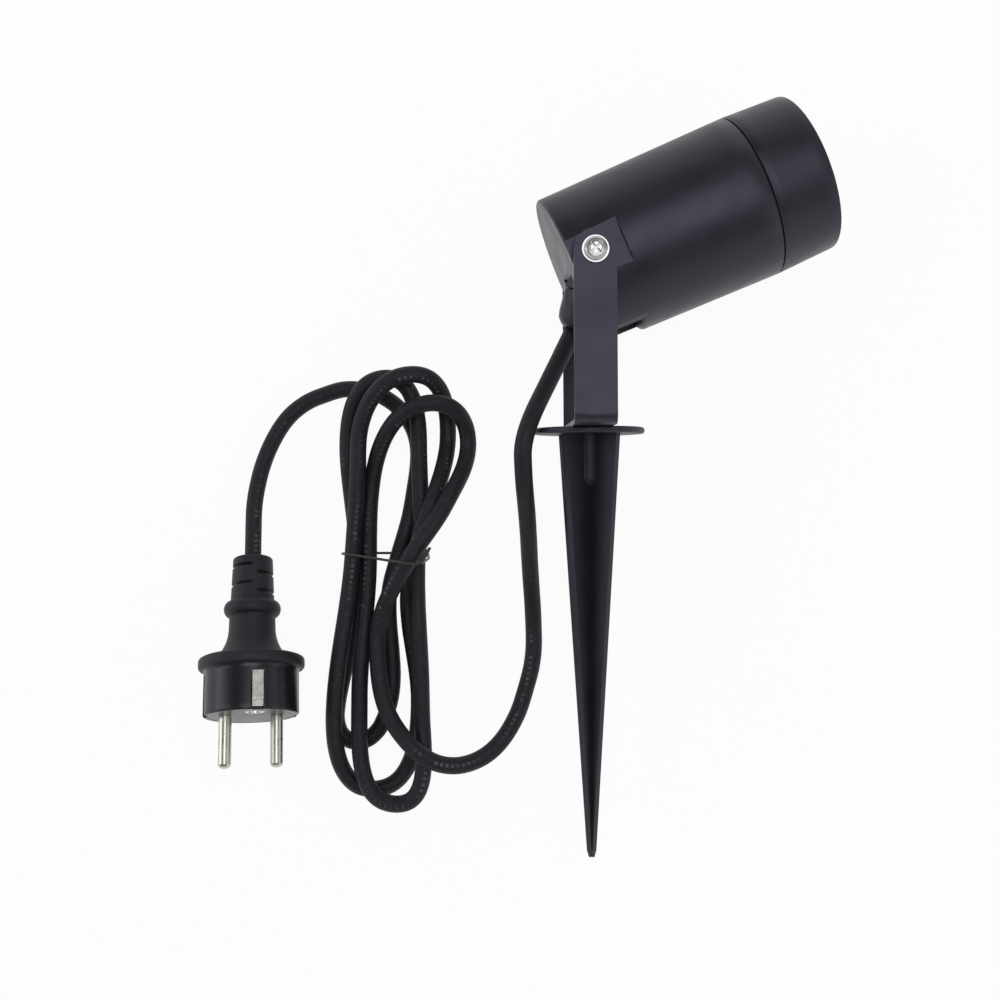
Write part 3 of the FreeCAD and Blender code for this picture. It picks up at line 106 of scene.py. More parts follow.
# The hank's stations from the plug's lead on: x, y, z, the heading in degrees and the slope.
HANK = [
    (-102.5, -40.1, 3.4, 19, 0), (-94.5, -38.7, 3.4, 0, 0), (-67.2, -65.0, 3.4, -91, 0),
    (-69.8, -85.0, 3.4, -99, 0.02), (-74.9, -104.5, 4.6, -106, 0), (-78.8, -120.0, 4.0, -95, 0),
    (-77.5, -150.0, 3.4, -89, 0), (-83.4, -172.7, 3.4, -124, 0), (-93.2, -177.2, 3.4, 172, 0),
    (-99.8, -169.0, 3.4, 92, 0), (-96.0, -145.0, 3.4, 82, 0), (-91.6, -104.5, 4.6, 89, 0),
    (-94.7, -61.5, 6.6, 90, 0), (-78.7, -35.7, 11.9, 3, -0.1), (-65.8, -61.9, 10.0, -90, 0),
    (-65.3, -85.0, 9.2, -90, -0.08), (-65.1, -94.5, 7.7, -95, -0.25),
    (-68.0, -104.5, 4.6, -100, -0.1), (-71.2, -120.0, 4.2, -92, 0), (-67.1, -160.8, 3.7, -90, 0),
    (-84.5, -195.1, 5.6, 180, 0.22), (-98.9, -168.3, 11.7, 90, 0), (-91.4, -104.5, 11.9, 86, 0),
    (-88.9, -63.6, 13.6, 90, 0), (-66.2, -35.4, 18.2, 0, -0.26), (-55.3, -57.8, 4.4, -90, 0.1),
    (-60.3, -85.0, 14.1, -106, 0.16), (-66.0, -104.5, 12.9, -94, -0.16),
    (-64.8, -161.5, 11.1, -90, 0), (-74.2, -198.6, 14.4, 180, -0.05), (-89.3, -160.1, 9.8, 90, 0),
    (-85.9, -104.5, 8.1, 90, 0), (-84.1, -73.0, 8.2, 78, 0.2), (-58.9, -46.5, 19.4, 2, -0.02),
    (-46.9, -60.9, 8.0, -90, 0), (-54.4, -85.0, 18.4, -116, 0.2),
    (-67.1, -104.5, 21.0, -121.5, -0.02), (-81.8, -138.6, 11.9, -90, 0),
    (-73.9, -169.2, 16.0, -51.5, 0.24), (-62.3, -179.7, 19.1, -33, -0.08),
    (-52.0, -183.3, 16.4, -1.5, -0.28), (-38.9, -179.3, 11.4, 36, -0.33),
    (-30.0, -168.4, 6.5, 62, -0.27), (-26.3, -159.4, 4.6, 74, -0.07),
]
HANK_STEP = 5.0 * MM            # about how far apart the hank's points are: over fifty to a turn
PUSH_OUT = 0.125                # a quadratic spline cuts inside each control point by this share
LINE_DETAIL = 12                # points of the cord's line to each of its control points
RING_STEP = 1.2 * MM            # the least step between the tube's rings


def heading_of(degrees, slope):
    """The direction of a heading in plan and a slope."""
    angle = math.radians(degrees)
    return Vector((math.cos(angle), math.sin(angle), slope)).normalized()


def hank_points():
    """Control points of the hank: an arc or an eased run from each station to the next."""
    stations = [(plan(x, y, z), heading_of(d, s)) for x, y, z, d, s in HANK]
    points = [stations[0][0]]
    for (a, out), (b, into) in zip(stations, stations[1:]):
        span = b - a
        reach = span.length / (3 * math.cos(out.angle(into) / 4) ** 2)
        first, second = a + out * reach, b - into * reach
        steps = max(1, round(span.length / HANK_STEP))
        for i in range(1, steps + 1):
            t = i / steps
            u = 1 - t
            points.append(a * u ** 3 + first * 3 * t * u * u + second * 3 * t * t * u + b * t ** 3)
    inner = [q * (1 + 2 * PUSH_OUT) - (p + r) * PUSH_OUT
             for p, q, r in zip(points, points[1:], points[2:])]
    return points[:1] + inner + points[-1:]


def cord_points():
    """Control points of the whole cord, from the gland to the plug."""
    first, last = heading_of(*HANK[0][3:]), heading_of(*HANK[-1][3:])
    hank = hank_points()
    diameter = 2 * CORD_R
    start, end = hank[0] - first * diameter, hank[-1] + last * diameter
    from_plug = [PLUG_ORIGIN, PLUG_ORIGIN - PLUG_AXIS * PLUG_RUN * MM]
    from_plug += [plan(*p) for p in PLUG_LEAD] + [start - first * HANK_IN_RUN * MM]
    to_lamp = [end + last * HANK_OUT_RUN * MM] + [plan(*p) for p in LAMP_LEAD]
    to_lamp += [GLAND_END + GLAND_OUT * GLAND_RUN * MM, GLAND_END]
    return (from_plug + hank + to_lamp)[::-1]


def spline_line(points, resolution=4):
    """The points that a quadratic spline with these control points follows."""
    curve = bpy.data.curves.new("line", "CURVE")
    curve.dimensions = "3D"
    spline = curve.splines.new("NURBS")
    spline.points.add(len(points) - 1)
    for p, q in zip(spline.points, points):
        p.co = (q.x, q.y, q.z, 1)
    spline.order_u = 3
    spline.use_endpoint_u = True
    spline.resolution_u = resolution
    line = bpy.data.objects.new("line", curve)
    SCENE.collection.objects.link(line)
    mesh = bpy.data.meshes.new_from_object(line)
    found = [v.co.copy() for v in mesh.vertices]
    bpy.data.objects.remove(line)
    bpy.data.curves.remove(curve)
    bpy.data.meshes.remove(mesh)
    return found


def thinned(line, least):
    """A line's ends, and its points in between that keep a least distance from the last kept."""
    kept = [line[0]]
    for point in line[1:-1]:
        if min((point - kept[-1]).length, (point - line[-1]).length) >= least:
            kept.append(point)
    return kept + [line[-1]]


# ---- meshes ----
def shown(bm, name):
    """The object of a finished mesh, in the scene."""
    bmesh.ops.recalc_face_normals(bm, faces=bm.faces)
    mesh = bpy.data.meshes.new(name)
    bm.to_mesh(mesh)
    bm.free()
    for face in mesh.polygons:
        face.use_smooth = True
    piece = bpy.data.objects.new(name, mesh)
    SCENE.collection.objects.link(piece)
    return piece


def skin(bm, rings):
    """Faces between neighbouring rings of points."""
    for a, b in zip(rings, rings[1:]):
        for k in range(len(a)):
            n = (k + 1) % len(a)
            bm.faces.new((a[k], a[n], b[n], b[k]))


def tube_mesh(name, line, radius, sides=24, twist=None):
    """A tube along a line. Its points keep their length along it and their angle round it.

    The angle is 0 on the upper side, which twist() turns away by an angle for each length.
    """
    bm = bmesh.new()
    along_layer = bm.verts.layers.float.new("along")
    around_layer = bm.verts.layers.float.new("around")
    travelled, rings = 0.0, []
    for i, centre in enumerate(line):
        tangent = (line[min(i + 1, len(line) - 1)] - line[max(i - 1, 0)]).normalized()
        if i:
            travelled += (centre - line[i - 1]).length
        side = (UP - tangent * tangent.z).normalized()
        other = tangent.cross(side)
        lean = twist(travelled) if twist else 0.0
        ring = []
        for k in range(sides):
            angle = 2 * math.pi * k / sides - math.pi
            out = side * math.cos(angle + lean) + other * math.sin(angle + lean)
            v = bm.verts.new(centre + out * radius)
            v[along_layer] = travelled
            v[around_layer] = angle
            ring.append(v)
        rings.append(ring)
    skin(bm, rings)
    bm.faces.new(rings[0][::-1])
    bm.faces.new(rings[-1])
    return shown(bm, name)


def turned_mesh(stations, angles):
    """A skin about the plug's axis and its rings of points, which keep their height.

    Each station is a height and a radius in millimetres; the radius may be a function of the angle.
    """
    bm = bmesh.new()
    height_layer = bm.verts.layers.float.new("height")
    rings = []
    for z, r in stations:
        ring = []
        for a in angles:
            reach = r(a) if callable(r) else r
            at = PLUG_X * (reach * math.cos(a)) + PLUG_Y * (reach * math.sin(a)) + PLUG_AXIS * z
            v = bm.verts.new(PLUG_ORIGIN + at * MM)
            v[height_layer] = z
            ring.append(v)
        rings.append(ring)
    skin(bm, rings)
    return bm, rings


def smooth_step(low, high, x):
    """0 below low, 1 above high, eased between."""
    t = min(max((x - low) / (high - low), 0.0), 1.0)
    return t * t * (3 - 2 * t)


# ---- cord ----
# How the printed side turns along the cord: angle, length for one radian, and phase.
TWISTS = [(0.9, 0.083, 0.6), (0.5, 0.031, 0.0)]


def print_twist(travelled):
    """How far the printed side turns away from the top, along the cord."""
    return sum(turn * math.sin(travelled / length + phase) for turn, length, phase in TWISTS)


def add_cord():
    """The cord from the gland to the plug."""
    line = thinned(spline_line(cord_points(), LINE_DETAIL), RING_STEP)
    piece = tube_mesh("mains_cord", line, CORD_R, twist=print_twist)
    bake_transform(piece)
    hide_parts("lamp_lead", "cable_hank", "plug_lead")
    return piece, line


# ---- the plug's strain relief: heights along the plug's axis and radii, in millimetres ----
RELIEF_LENGTH = 22.0
RELIEF_R, RELIEF_GAIN, RELIEF_TAPER = 7.6, 0.7, 17.2
RELIEF_ROUND = 0.9              # the rounded end's radius
END_HEIGHTS = [0.0, 0.06, 0.2, 0.4, 0.65]
RELIEF_SLOTS = [(4.0, 0.0), (7.2, math.pi), (11.3, 0.0), (14.5, math.pi)]
SLOT_HALF, SLOT_SOFT, SLOT_DEPTH = 0.65, 0.1, 2.6
SLOT_TURN = (math.pi / 2 - 0.34, math.pi / 2 - 0.04)
SLOT_DETAIL = 0.16              # the step between the rings that show the slots
RELIEF_SIDES = 96
MOUTH_GAP, MOUTH_BEVEL, MOUTH_DEPTH = 0.05, 0.35, 0.4


def relief_radius(z):
    """The strain relief's radius at a height, by angle: a taper with half-round flexing slots."""
    plain = RELIEF_R + RELIEF_GAIN * min(z, RELIEF_TAPER) / RELIEF_TAPER
    if z < RELIEF_ROUND:
        plain -= RELIEF_ROUND - math.sqrt(RELIEF_ROUND ** 2 - (RELIEF_ROUND - z) ** 2)

    def radius(a):
        r = plain
        for at, middle in RELIEF_SLOTS:
            across = 1 - smooth_step(SLOT_HALF - SLOT_SOFT, SLOT_HALF + SLOT_SOFT, abs(z - at))
            turn = abs((a - middle + math.pi) % (2 * math.pi) - math.pi)
            r -= SLOT_DEPTH * across * (1 - smooth_step(*SLOT_TURN, turn))
        return r

    return radius


def add_relief():
    """The strain relief: a sleeve with a mouth for the cord, that runs into the plug's collar."""
    mouth = CORD_R / MM + MOUTH_GAP
    rest = RELIEF_LENGTH - RELIEF_ROUND
    count = int(rest / SLOT_DETAIL)
    heights = END_HEIGHTS + [RELIEF_ROUND + rest * i / count for i in range(count + 1)]
    stations = [(RELIEF_LENGTH, mouth), (MOUTH_DEPTH, mouth), (0.0, mouth + MOUTH_BEVEL)]
    stations += [(z, relief_radius(z)) for z in heights]
    bm, rings = turned_mesh(stations, [2 * math.pi * k / RELIEF_SIDES for k in range(RELIEF_SIDES)])
    skin(bm, [rings[-1], rings[0]])
    piece = shown(bm, "plug_relief")
    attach(piece, "bracket")
    return piece


# ---- plug: heights along its axis and radii, in millimetres ----
PLUG_R = 17.75
CENTRE_R = 0.4                  # the small cap that closes a skin at the axis
NECK = (17.75, 8.35)
COLLAR_AT, COLLAR_HALF, COLLAR_R, COLLAR_SWELL, COLLAR_STEPS = 20.55, 2.85, 8.75, 2.05, 18
WAIST_AT, WAIST_LENGTH, WAIST_R, WAIST_SWELL, WAIST_STEPS = 23.4, 15.3, 8.72, 0.1, 32
FLARE_FROM, FLARE_GAIN, FLARE_POWER = 0.2, 4.1, 2.6
GRIP_FLANGE = [
    (39.05, 13.6), (39.25, 14.7), (39.4, 16.3), (39.55, 17.9), (39.75, 18.9), (40.1, 19.5),
    (40.6, 19.8), (41.3, 19.9), (42.9, 19.9), (43.5, 19.75), (43.95, 19.45), (44.2, 19.0),
    (44.3, 18.4), (44.36, 17.9), (44.5, PLUG_R),
]
BARREL_HEIGHTS = (46.2, 46.4, 47.2, 47.4, 50.0, 53.0, 56.0, 59.0, 60.8)
BARREL_RIM = ((61.1, 17.69), (61.34, 17.52), (61.52, 17.28), (61.6, 17.0), (61.6, 15.4))
POCKET_R, POCKET_TOP, POCKET_FLOOR = 15.2, 61.45, 47.4
KEYWAY_FLOOR, KEYWAY_HALF, KEYWAY_START = 16.15, 2.6, 46.3
CLIP_FLOOR, CLIP_HALF, CLIP_START = 16.95, 2.05, 47.3
ANGLE_STEP, EDGE_PAIR, EDGE_CLEAR = 3, 0.3, 1.0         # degrees


def barrel_radius(z, plain):
    """The round plug part's radius, by angle, with its keyways and the earth contacts' seats."""
    keyway = z > KEYWAY_START
    clip = z > CLIP_START

    def radius(a):
        x, y = abs(math.cos(a)), abs(math.sin(a))
        if keyway and PLUG_R * y < KEYWAY_HALF:
            return min(plain, KEYWAY_FLOOR / x)
        if clip and PLUG_R * x < CLIP_HALF:
            return min(plain, CLIP_FLOOR / y)
        return plain

    return radius


def plug_angles():
    """Even angles round the plug, with a close pair at each side of its keyways and seats."""
    edges = []
    for middle, half in ((0, KEYWAY_HALF), (90, CLIP_HALF), (180, KEYWAY_HALF), (270, CLIP_HALF)):
        reach = math.degrees(math.asin(half / PLUG_R))
        edges += [middle - reach, middle + reach]
    angles = [d + shift for d in edges for shift in (-EDGE_PAIR, EDGE_PAIR)]
    for even in range(0, 360, ANGLE_STEP):
        if all(abs((even - d + 180) % 360 - 180) > EDGE_CLEAR for d in edges):
            angles.append(even)
    return [math.radians(d) for d in sorted(a % 360 for a in angles)]


def add_plug():
    """The moulded plug: collar, waist, flare, grip flange and the round part with its keyways."""
    stations = [(RELIEF_LENGTH, CENTRE_R), (RELIEF_LENGTH, NECK[1]), NECK]
    for i in range(COLLAR_STEPS + 1):
        a = math.pi * i / COLLAR_STEPS
        stations.append((COLLAR_AT - COLLAR_HALF * math.cos(a),
                         COLLAR_R + COLLAR_SWELL * math.sin(a)))
    for i in range(1, WAIST_STEPS + 1):
        t = i / WAIST_STEPS
        flare = FLARE_GAIN * max(0, (t - FLARE_FROM) / (1 - FLARE_FROM)) ** FLARE_POWER
        stations.append((WAIST_AT + WAIST_LENGTH * t,
                         WAIST_R + WAIST_SWELL * math.sin(math.pi * t) + flare))
    stations += GRIP_FLANGE
    stations += [(z, barrel_radius(z, PLUG_R)) for z in BARREL_HEIGHTS]
    stations += [(z, barrel_radius(z, r)) for z, r in BARREL_RIM]
    stations += [(POCKET_TOP, POCKET_R), (POCKET_FLOOR, POCKET_R), (POCKET_FLOOR, CENTRE_R)]
    bm, rings = turned_mesh(stations, plug_angles())
    bm.faces.new(rings[0][::-1])
    bm.faces.new(rings[-1])
    piece = shown(bm, "plug_shell")
    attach(piece, "bracket")
    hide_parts("plug_body")
    return piece


# ---- tie: millimetres and degrees ----
TIE_Y = -104.5
# The x and z of the outer strands' centres, in the order in which the tie goes round them.
TIE_ROUND = [
    (-91.6, 4.6), (-91.4, 11.9), (-67.8, 21.0), (-66.4, 21.0), (-65.6, 12.9), (-67.1, 4.6),
]
TAILS_LEAVE = 3                 # the corner at which the tails leave
TIE_R, TIE_SIDES, TIE_GAP = 0.5, 12, 0.25
TIE_REACH = CORD_R / MM + TIE_R + TIE_GAP
ARC_STEP = 15
TIE_LEAN, LEAN_FROM, LEAN_TO, LEAN_HEIGHT, TIE_SHIFT = 3.4, -95, -62, 23.0, 1.0
TAIL_START = 37.0               # the angle on the arc round the corner that the tails leave
TAIL_FOOT = Vector((0.25, 0.35, 0.25))
TAIL_TO = Vector((0.55, 0.82, 0.12)).normalized()
TAIL_LENGTH, TAIL_TURNS, TAIL_POINTS = 4.6, 2.5, 8
TAIL_CLOSE = 0.98               # the wound tails' distance from their middle, in tie radii
TAIL_SPREADS = Vector((1, 0.1, 0.2)), Vector((-0.2, 0.5, 0.6))
TAIL_ENDS = (1.0, 2.2)


def tie_point(x, z):
    """A point of the tie, whose plane leans: above, its right end is nearer to the spike's tip."""
    lean = TIE_SHIFT - TIE_LEAN * smooth_step(LEAN_FROM, LEAN_TO, x) * z / LEAN_HEIGHT
    return plan(x, TIE_Y + lean, z)


def tie_round():
    """The tie's way round the strands, from the tails' foot and back to it."""
    corners = TIE_ROUND[TAILS_LEAVE:] + TIE_ROUND[:TAILS_LEAVE]
    sides = [math.degrees(math.atan2(u - x, z - w))
             for (x, z), (u, w) in zip(corners, corners[1:] + corners[:1])]
    arcs = [(corners[0], TAIL_START, sides[0])]
    arcs += [(corners[i], sides[i - 1], sides[i]) for i in range(1, len(corners))]
    arcs.append((corners[0], sides[-1], TAIL_START))
    points = []
    for (x, z), begin, end in arcs:
        turn = (begin - end) % 360
        steps = max(1, round(turn / ARC_STEP))
        for k in range(steps + 1):
            a = math.radians(begin - turn * k / steps)
            points.append(tie_point(x + TIE_REACH * math.cos(a), z + TIE_REACH * math.sin(a)))
    return points


def tie_tail(foot, phase, spread):
    """One tail of the tie from its foot: wound round the other, then standing off a little."""
    first = TAIL_TO.orthogonal().normalized()
    second = TAIL_TO.cross(first)
    steps = int(TAIL_TURNS * TAIL_POINTS)
    points = []
    for k in range(1, steps + 1):
        a = phase + 2 * math.pi * TAIL_TURNS * k / steps
        off = (first * math.cos(a) + second * math.sin(a)) * TIE_R * TAIL_CLOSE
        points.append(foot + (TAIL_TO * (TAIL_LENGTH * k / steps) + off) * MM)
    away = (TAIL_TO + spread * 0.5).normalized()
    return points + [points[-1] + away * (end * MM) for end in TAIL_ENDS]


def add_tie():
    """A thin covered wire drawn round the hank's waist, its two tails twisted together."""
    loop = tie_round()
    foot = (loop[0] + loop[-1]) / 2 + TAIL_FOOT * MM
    one = tie_tail(foot, 0.0, TAIL_SPREADS[0])
    other = tie_tail(foot, math.pi, TAIL_SPREADS[1])
    line = spline_line(one[::-1] + loop[1:-1] + other)
    piece = tube_mesh("tie_wire", line, TIE_R * MM, TIE_SIDES)
    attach(piece, "bracket")
    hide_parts("cable_tie")
    return piece


# ---- materials ----
WEAR_FROM, WEAR_FULL = 0.52, 0.60               # pointiness at which an edge's wear sets in


class Graph:
    """A principled material and short calls for its nodes. Lengths are in metres."""

    def __init__(self, name, **fixed):
        self.material = bpy.data.materials.new(name)
        self.material.use_nodes = True
        self.tree = self.material.node_tree
        self.shader = self.tree.nodes["Principled BSDF"]
        for key, value in fixed.items():
            self.shader.inputs[key.replace("_", " ")].default_value = value
        self.where = self.add("ShaderNodeTexCoord").outputs["Object"]

    def add(self, kind, inputs=(), **settings):
        """A node with its settings and inputs."""
        node = self.tree.nodes.new(kind)
        for key, value in settings.items():
            setattr(node, key, value)
        for key, value in inputs:
            self.feed(node.inputs[key], value)
        return node

    def feed(self, socket, value):
        """Links a node's output to a socket, or sets a constant on it."""
        if isinstance(value, bpy.types.NodeSocket):
            self.tree.links.new(value, socket)
        else:
            socket.default_value = value

    def sum(self, operation, *values):
        """One step of arithmetic."""
        return self.add("ShaderNodeMath", enumerate(values), operation=operation).outputs[0]

    def noise(self, size, detail=3.0, stretch=None):
        """Noise from 0 to 1 whose lumps have a size, longer along some axes if stretched."""
        where = self.where
        if stretch:
            inputs = [("Vector", where), ("Scale", stretch)]
            where = self.add("ShaderNodeMapping", inputs).outputs[0]
        inputs = [("Vector", where), ("Scale", 1 / size), ("Detail", detail)]
        return self.add("ShaderNodeTexNoise", inputs).outputs[0]

    def spread(self, value, low, high, to_low=0.0, to_high=1.0):
        """A value mapped from one range to another and kept inside it."""
        inputs = [("Value", value), ("From Min", low), ("From Max", high),
                  ("To Min", to_low), ("To Max", to_high)]
        return self.add("ShaderNodeMapRange", inputs).outputs[0]

    def patches(self, size, detail=3.0, low=0.3, high=0.7):
        """Noise spread so that it is 0 below low and 1 above high."""
        return self.spread(self.noise(size, detail), low, high)

    def mixed(self, share, a, b):
        """A colour between two."""
        node = self.add("ShaderNodeMix", data_type="RGBA")
        self.feed(node.inputs[0], share)
        for socket, colour in ((node.inputs[6], a), (node.inputs[7], b)):
            linked = isinstance(colour, bpy.types.NodeSocket)
            self.feed(socket, colour if linked else (*colour, 1))
        return node.outputs[2]

    def pointiness(self):
        """Under a half in hollows and over a half on outer edges."""
        return self.add("ShaderNodeNewGeometry").outputs["Pointiness"]

    def edges(self):
        """1 along outer edges, broken up as wear is."""
        sharp = self.spread(self.pointiness(), WEAR_FROM, WEAR_FULL)
        return self.sum("MULTIPLY", sharp, self.patches(0.003, low=0.35))

    def attribute(self, name):
        """A number that the mesh's points keep."""
        return self.add("ShaderNodeAttribute", attribute_name=name).outputs["Fac"]

    def finish(self, colour, roughness, height=None, depth=0.00001):
        """Feeds the shader, with a bump where a height is given."""
        self.feed(self.shader.inputs["Base Color"], colour)
        self.feed(self.shader.inputs["Roughness"], roughness)
        if height is not None:
            inputs = [("Height", height), ("Distance", depth), ("Strength", 1.0)]
            self.feed(self.shader.inputs["Normal"], self.add("ShaderNodeBump", inputs).outputs[0])
        return self.material


BLACK = {"Specular_IOR_Level": 0.5, "Specular_Tint": (0.78, 0.74, 1.0, 1.0)}
MOTTLE_SIZE, MOTTLE_SHARE, WORN_SHARE = 0.012, 0.6, 0.5
# Slot: dark and light colour, roughness, the grain's size and depth, worn colour, fixed inputs.
COATED = {
    "bracket_steel": ((0.0085, 0.0082, 0.0105), (0.0115, 0.011, 0.014), (0.38, 0.48),
                      0.0005, 0.000012, (0.05, 0.05, 0.055), BLACK),
    "head_aluminium": ((0.0075, 0.0072, 0.009), (0.0105, 0.0102, 0.0125), (0.36, 0.46),
                       0.0005, 0.000010, (0.05, 0.05, 0.055), BLACK),
    "spike_plastic": ((0.006, 0.006, 0.0075), (0.009, 0.009, 0.0105), (0.44, 0.56),
                      0.0006, 0.000018, (0.05, 0.05, 0.052), BLACK),
    "seal_rubber": ((0.008, 0.008, 0.008), (0.013, 0.013, 0.013), (0.6, 0.75),
                    0.0004, 0.000015, (0.03, 0.03, 0.03), BLACK),
    "gland_nylon": ((0.010, 0.010, 0.0115), (0.014, 0.014, 0.0155), (0.42, 0.54),
                    0.0004, 0.000012, (0.05, 0.05, 0.052), BLACK),
    "spacer_nylon": ((0.012, 0.012, 0.012), (0.018, 0.018, 0.018), (0.45, 0.6),
                     0.0004, 0.000010, (0.05, 0.05, 0.05), BLACK),
    "bulb_shell": ((0.66, 0.66, 0.65), (0.78, 0.78, 0.77), (0.35, 0.5),
                   0.0006, 0.00001, (0.85, 0.85, 0.84), {}),
    "bulb_cover": ((0.78, 0.78, 0.75), (0.86, 0.86, 0.83), (0.3, 0.42),
                   0.0008, 0.00001, (0.9, 0.9, 0.88), {"Subsurface_Weight": 0.2}),
    "ceramic": ((0.70, 0.67, 0.61), (0.80, 0.77, 0.71), (0.22, 0.4),
                0.001, 0.00002, (0.85, 0.83, 0.78), {}),
    "block_plastic": ((0.60, 0.60, 0.58), (0.72, 0.72, 0.69), (0.38, 0.5),
                      0.0005, 0.00001, (0.8, 0.8, 0.78), {}),
    "wire_insulation": ((0.20, 0.075, 0.03), (0.27, 0.11, 0.045), (0.35, 0.5),
                        0.0004, 0.00001, (0.3, 0.15, 0.08), {}),
    "tie_wire": ((0.012, 0.012, 0.013), (0.02, 0.02, 0.021), (0.32, 0.48),
                 0.0003, 0.00001, (0.07, 0.07, 0.07), {}),
    "plug_face_plastic": ((0.014, 0.014, 0.015), (0.02, 0.02, 0.021), (0.3, 0.42),
                          0.0004, 0.00001, (0.06, 0.06, 0.06), {}),
}


def coated(name, dark, light, rough, grain, depth, worn, fixed):
    """A coating, moulding or rubber: mottled colour, fine grain and slightly worn edges."""
    g = Graph(name, **fixed)
    mottle = g.patches(MOTTLE_SIZE, 4.0)
    fine = g.noise(grain, 2.0)
    edge = g.sum("MULTIPLY", g.edges(), WORN_SHARE)
    colour = g.mixed(edge, g.mixed(mottle, dark, light), worn)
    uneven = g.sum("ADD", g.sum("MULTIPLY", mottle, MOTTLE_SHARE),
                   g.sum("MULTIPLY", fine, 1 - MOTTLE_SHARE))
    return g.finish(colour, g.spread(uneven, 0.2, 0.8, *rough), fine, depth)


CLOUD_SIZE, CLOUD_SHARE = 0.004, 0.7
SCRATCH_SIZE = 0.0003
HOLLOW, OPEN, HOLLOW_SHADE_SHARE = 0.38, 0.485, 0.85            # pointiness with the most painted shade and with none
# the colour of the painted shade in hollows, and the roughness added there
HOLLOW_SHADE_COLOUR, HOLLOW_ROUGHNESS = (0.02, 0.02, 0.02), 0.3
# Slot: dark and light colour, roughness, the stretch that draws the scratches out, their depth.
METALS = {
    "zinc_steel": ((0.34, 0.34, 0.345), (0.50, 0.50, 0.50), (0.2, 0.34), (1, 1, 0.12), 0.0000005),
    "brass": ((0.55, 0.38, 0.14), (0.82, 0.62, 0.28), (0.2, 0.36), (1, 1, 0.15), 0.000001),
    "nickel": ((0.46, 0.455, 0.41), (0.58, 0.575, 0.52), (0.20, 0.30), (1, 0.12, 1), 0.0000005),
}


def metal(name, dark, light, rough, stretch, depth):
    """A plated or drawn metal: fine scratches along one way, clouding, and painted shade that darkens and roughens
    its hollows.
    """
    g = Graph(name, Metallic=1.0)
    cloud = g.patches(CLOUD_SIZE)
    scratch = g.noise(SCRATCH_SIZE, 2.0, stretch)
    # painted shade: hollows, found by their low pointiness, get a darker colour and more roughness
    painted_hollow_shade = g.sum("MULTIPLY", g.spread(g.pointiness(), HOLLOW, OPEN, 1.0, 0.0), HOLLOW_SHADE_SHARE)
    share = g.sum("ADD", g.sum("MULTIPLY", cloud, CLOUD_SHARE),
                  g.sum("MULTIPLY", g.spread(scratch, 0.3, 0.7), 1 - CLOUD_SHARE))
    # the painted shade darkens the metal's colour in its hollows
    colour = g.mixed(painted_hollow_shade, g.mixed(share, dark, light), HOLLOW_SHADE_COLOUR)
    roughness = g.sum("ADD", g.spread(cloud, 0.0, 1.0, *rough),
                      g.sum("MULTIPLY", painted_hollow_shade, HOLLOW_ROUGHNESS))
    return g.finish(colour, roughness, scratch, depth)


PRINT_START = 0.004             # the unprinted length at the gland
PRINT_PITCH, PRINT_DASH = 0.0021, 0.52          # a dash's length with its gap, and its share of it
PRINT_WORD, PRINT_FULL = 0.0231, 0.78           # a group of dashes, with its gap, and its share
PRINT_HALF = 0.19               # half the width of the dashes, as an angle round the cord
PRINT_COLOUR, PRINT_STRENGTH = (0.15, 0.15, 0.17), 0.42
DUST_COLOUR, DUST_SHARE = (0.05, 0.048, 0.055), 0.25


def cord_rubber():
    """The sheath: dull mottled rubber with dust, and a worn row of plain printed dashes."""
    g = Graph("cord_rubber", Specular_IOR_Level=0.3, Specular_Tint=(0.86, 0.83, 1.0, 1.0))
    along, around = g.attribute("along"), g.attribute("around")
    mark = g.sum("LESS_THAN", g.sum("FRACT", g.sum("DIVIDE", along, PRINT_PITCH)), PRINT_DASH)
    word = g.sum("LESS_THAN", g.sum("FRACT", g.sum("DIVIDE", along, PRINT_WORD)), PRINT_FULL)
    row = g.sum("LESS_THAN", g.sum("ABSOLUTE", around), PRINT_HALF)
    on = g.sum("GREATER_THAN", along, PRINT_START)
    worn = g.patches(0.004, 1.0, 0.3, 0.6)
    faded = g.patches(0.024, 1.0, 0.42, 0.62)
    for other in (word, row, on, worn, faded):
        mark = g.sum("MULTIPLY", mark, other)
    mottle = g.patches(0.009, 4.0)
    dust = g.patches(0.0016, 5.0, 0.5, 0.8)
    base = g.mixed(mottle, (0.0085, 0.0082, 0.0095), (0.012, 0.0117, 0.0133))
    base = g.mixed(g.sum("MULTIPLY", dust, DUST_SHARE), base, DUST_COLOUR)
    colour = g.mixed(g.sum("MULTIPLY", mark, PRINT_STRENGTH), base, PRINT_COLOUR)
    fine = g.noise(0.0004, 3.0)
    rough = g.spread(g.sum("ADD", mottle, fine), 0.5, 1.5, 0.5, 0.64)
    return g.finish(colour, rough, fine, 0.00002)


GLOSS_FROM, GLOSS_TO = 44.2, 44.7               # heights along the plug, in millimetres
MATT_ROUGHNESS, GLOSSY_ROUGHNESS = 0.52, 0.24


def plug_rubber():
    """Moulded rubber, matt at the grip and glossy where the round plug part starts."""
    g = Graph("plug_rubber", Specular_IOR_Level=0.4, Specular_Tint=(0.84, 0.82, 1.0, 1.0))
    front = g.spread(g.attribute("height"), GLOSS_FROM, GLOSS_TO)
    mottle = g.patches(0.01, 4.0)
    fine = g.noise(0.00035, 2.0)
    matt = g.mixed(mottle, (0.0095, 0.0094, 0.0105), (0.013, 0.0128, 0.014))
    glossy = g.mixed(mottle, (0.006, 0.006, 0.0065), (0.009, 0.009, 0.0095))
    worn = g.sum("MULTIPLY", g.edges(), 0.4)
    colour = g.mixed(worn, g.mixed(front, matt, glossy), (0.05, 0.05, 0.052))
    rough = g.sum("ADD", g.spread(front, 0.0, 1.0, MATT_ROUGHNESS, GLOSSY_ROUGHNESS),
                  g.sum("MULTIPLY", fine, 0.08))
    shallow = g.sum("MULTIPLY", fine, g.spread(front, 0.0, 1.0, 1.0, 0.25))
    return g.finish(colour, rough, shallow, 0.00002)


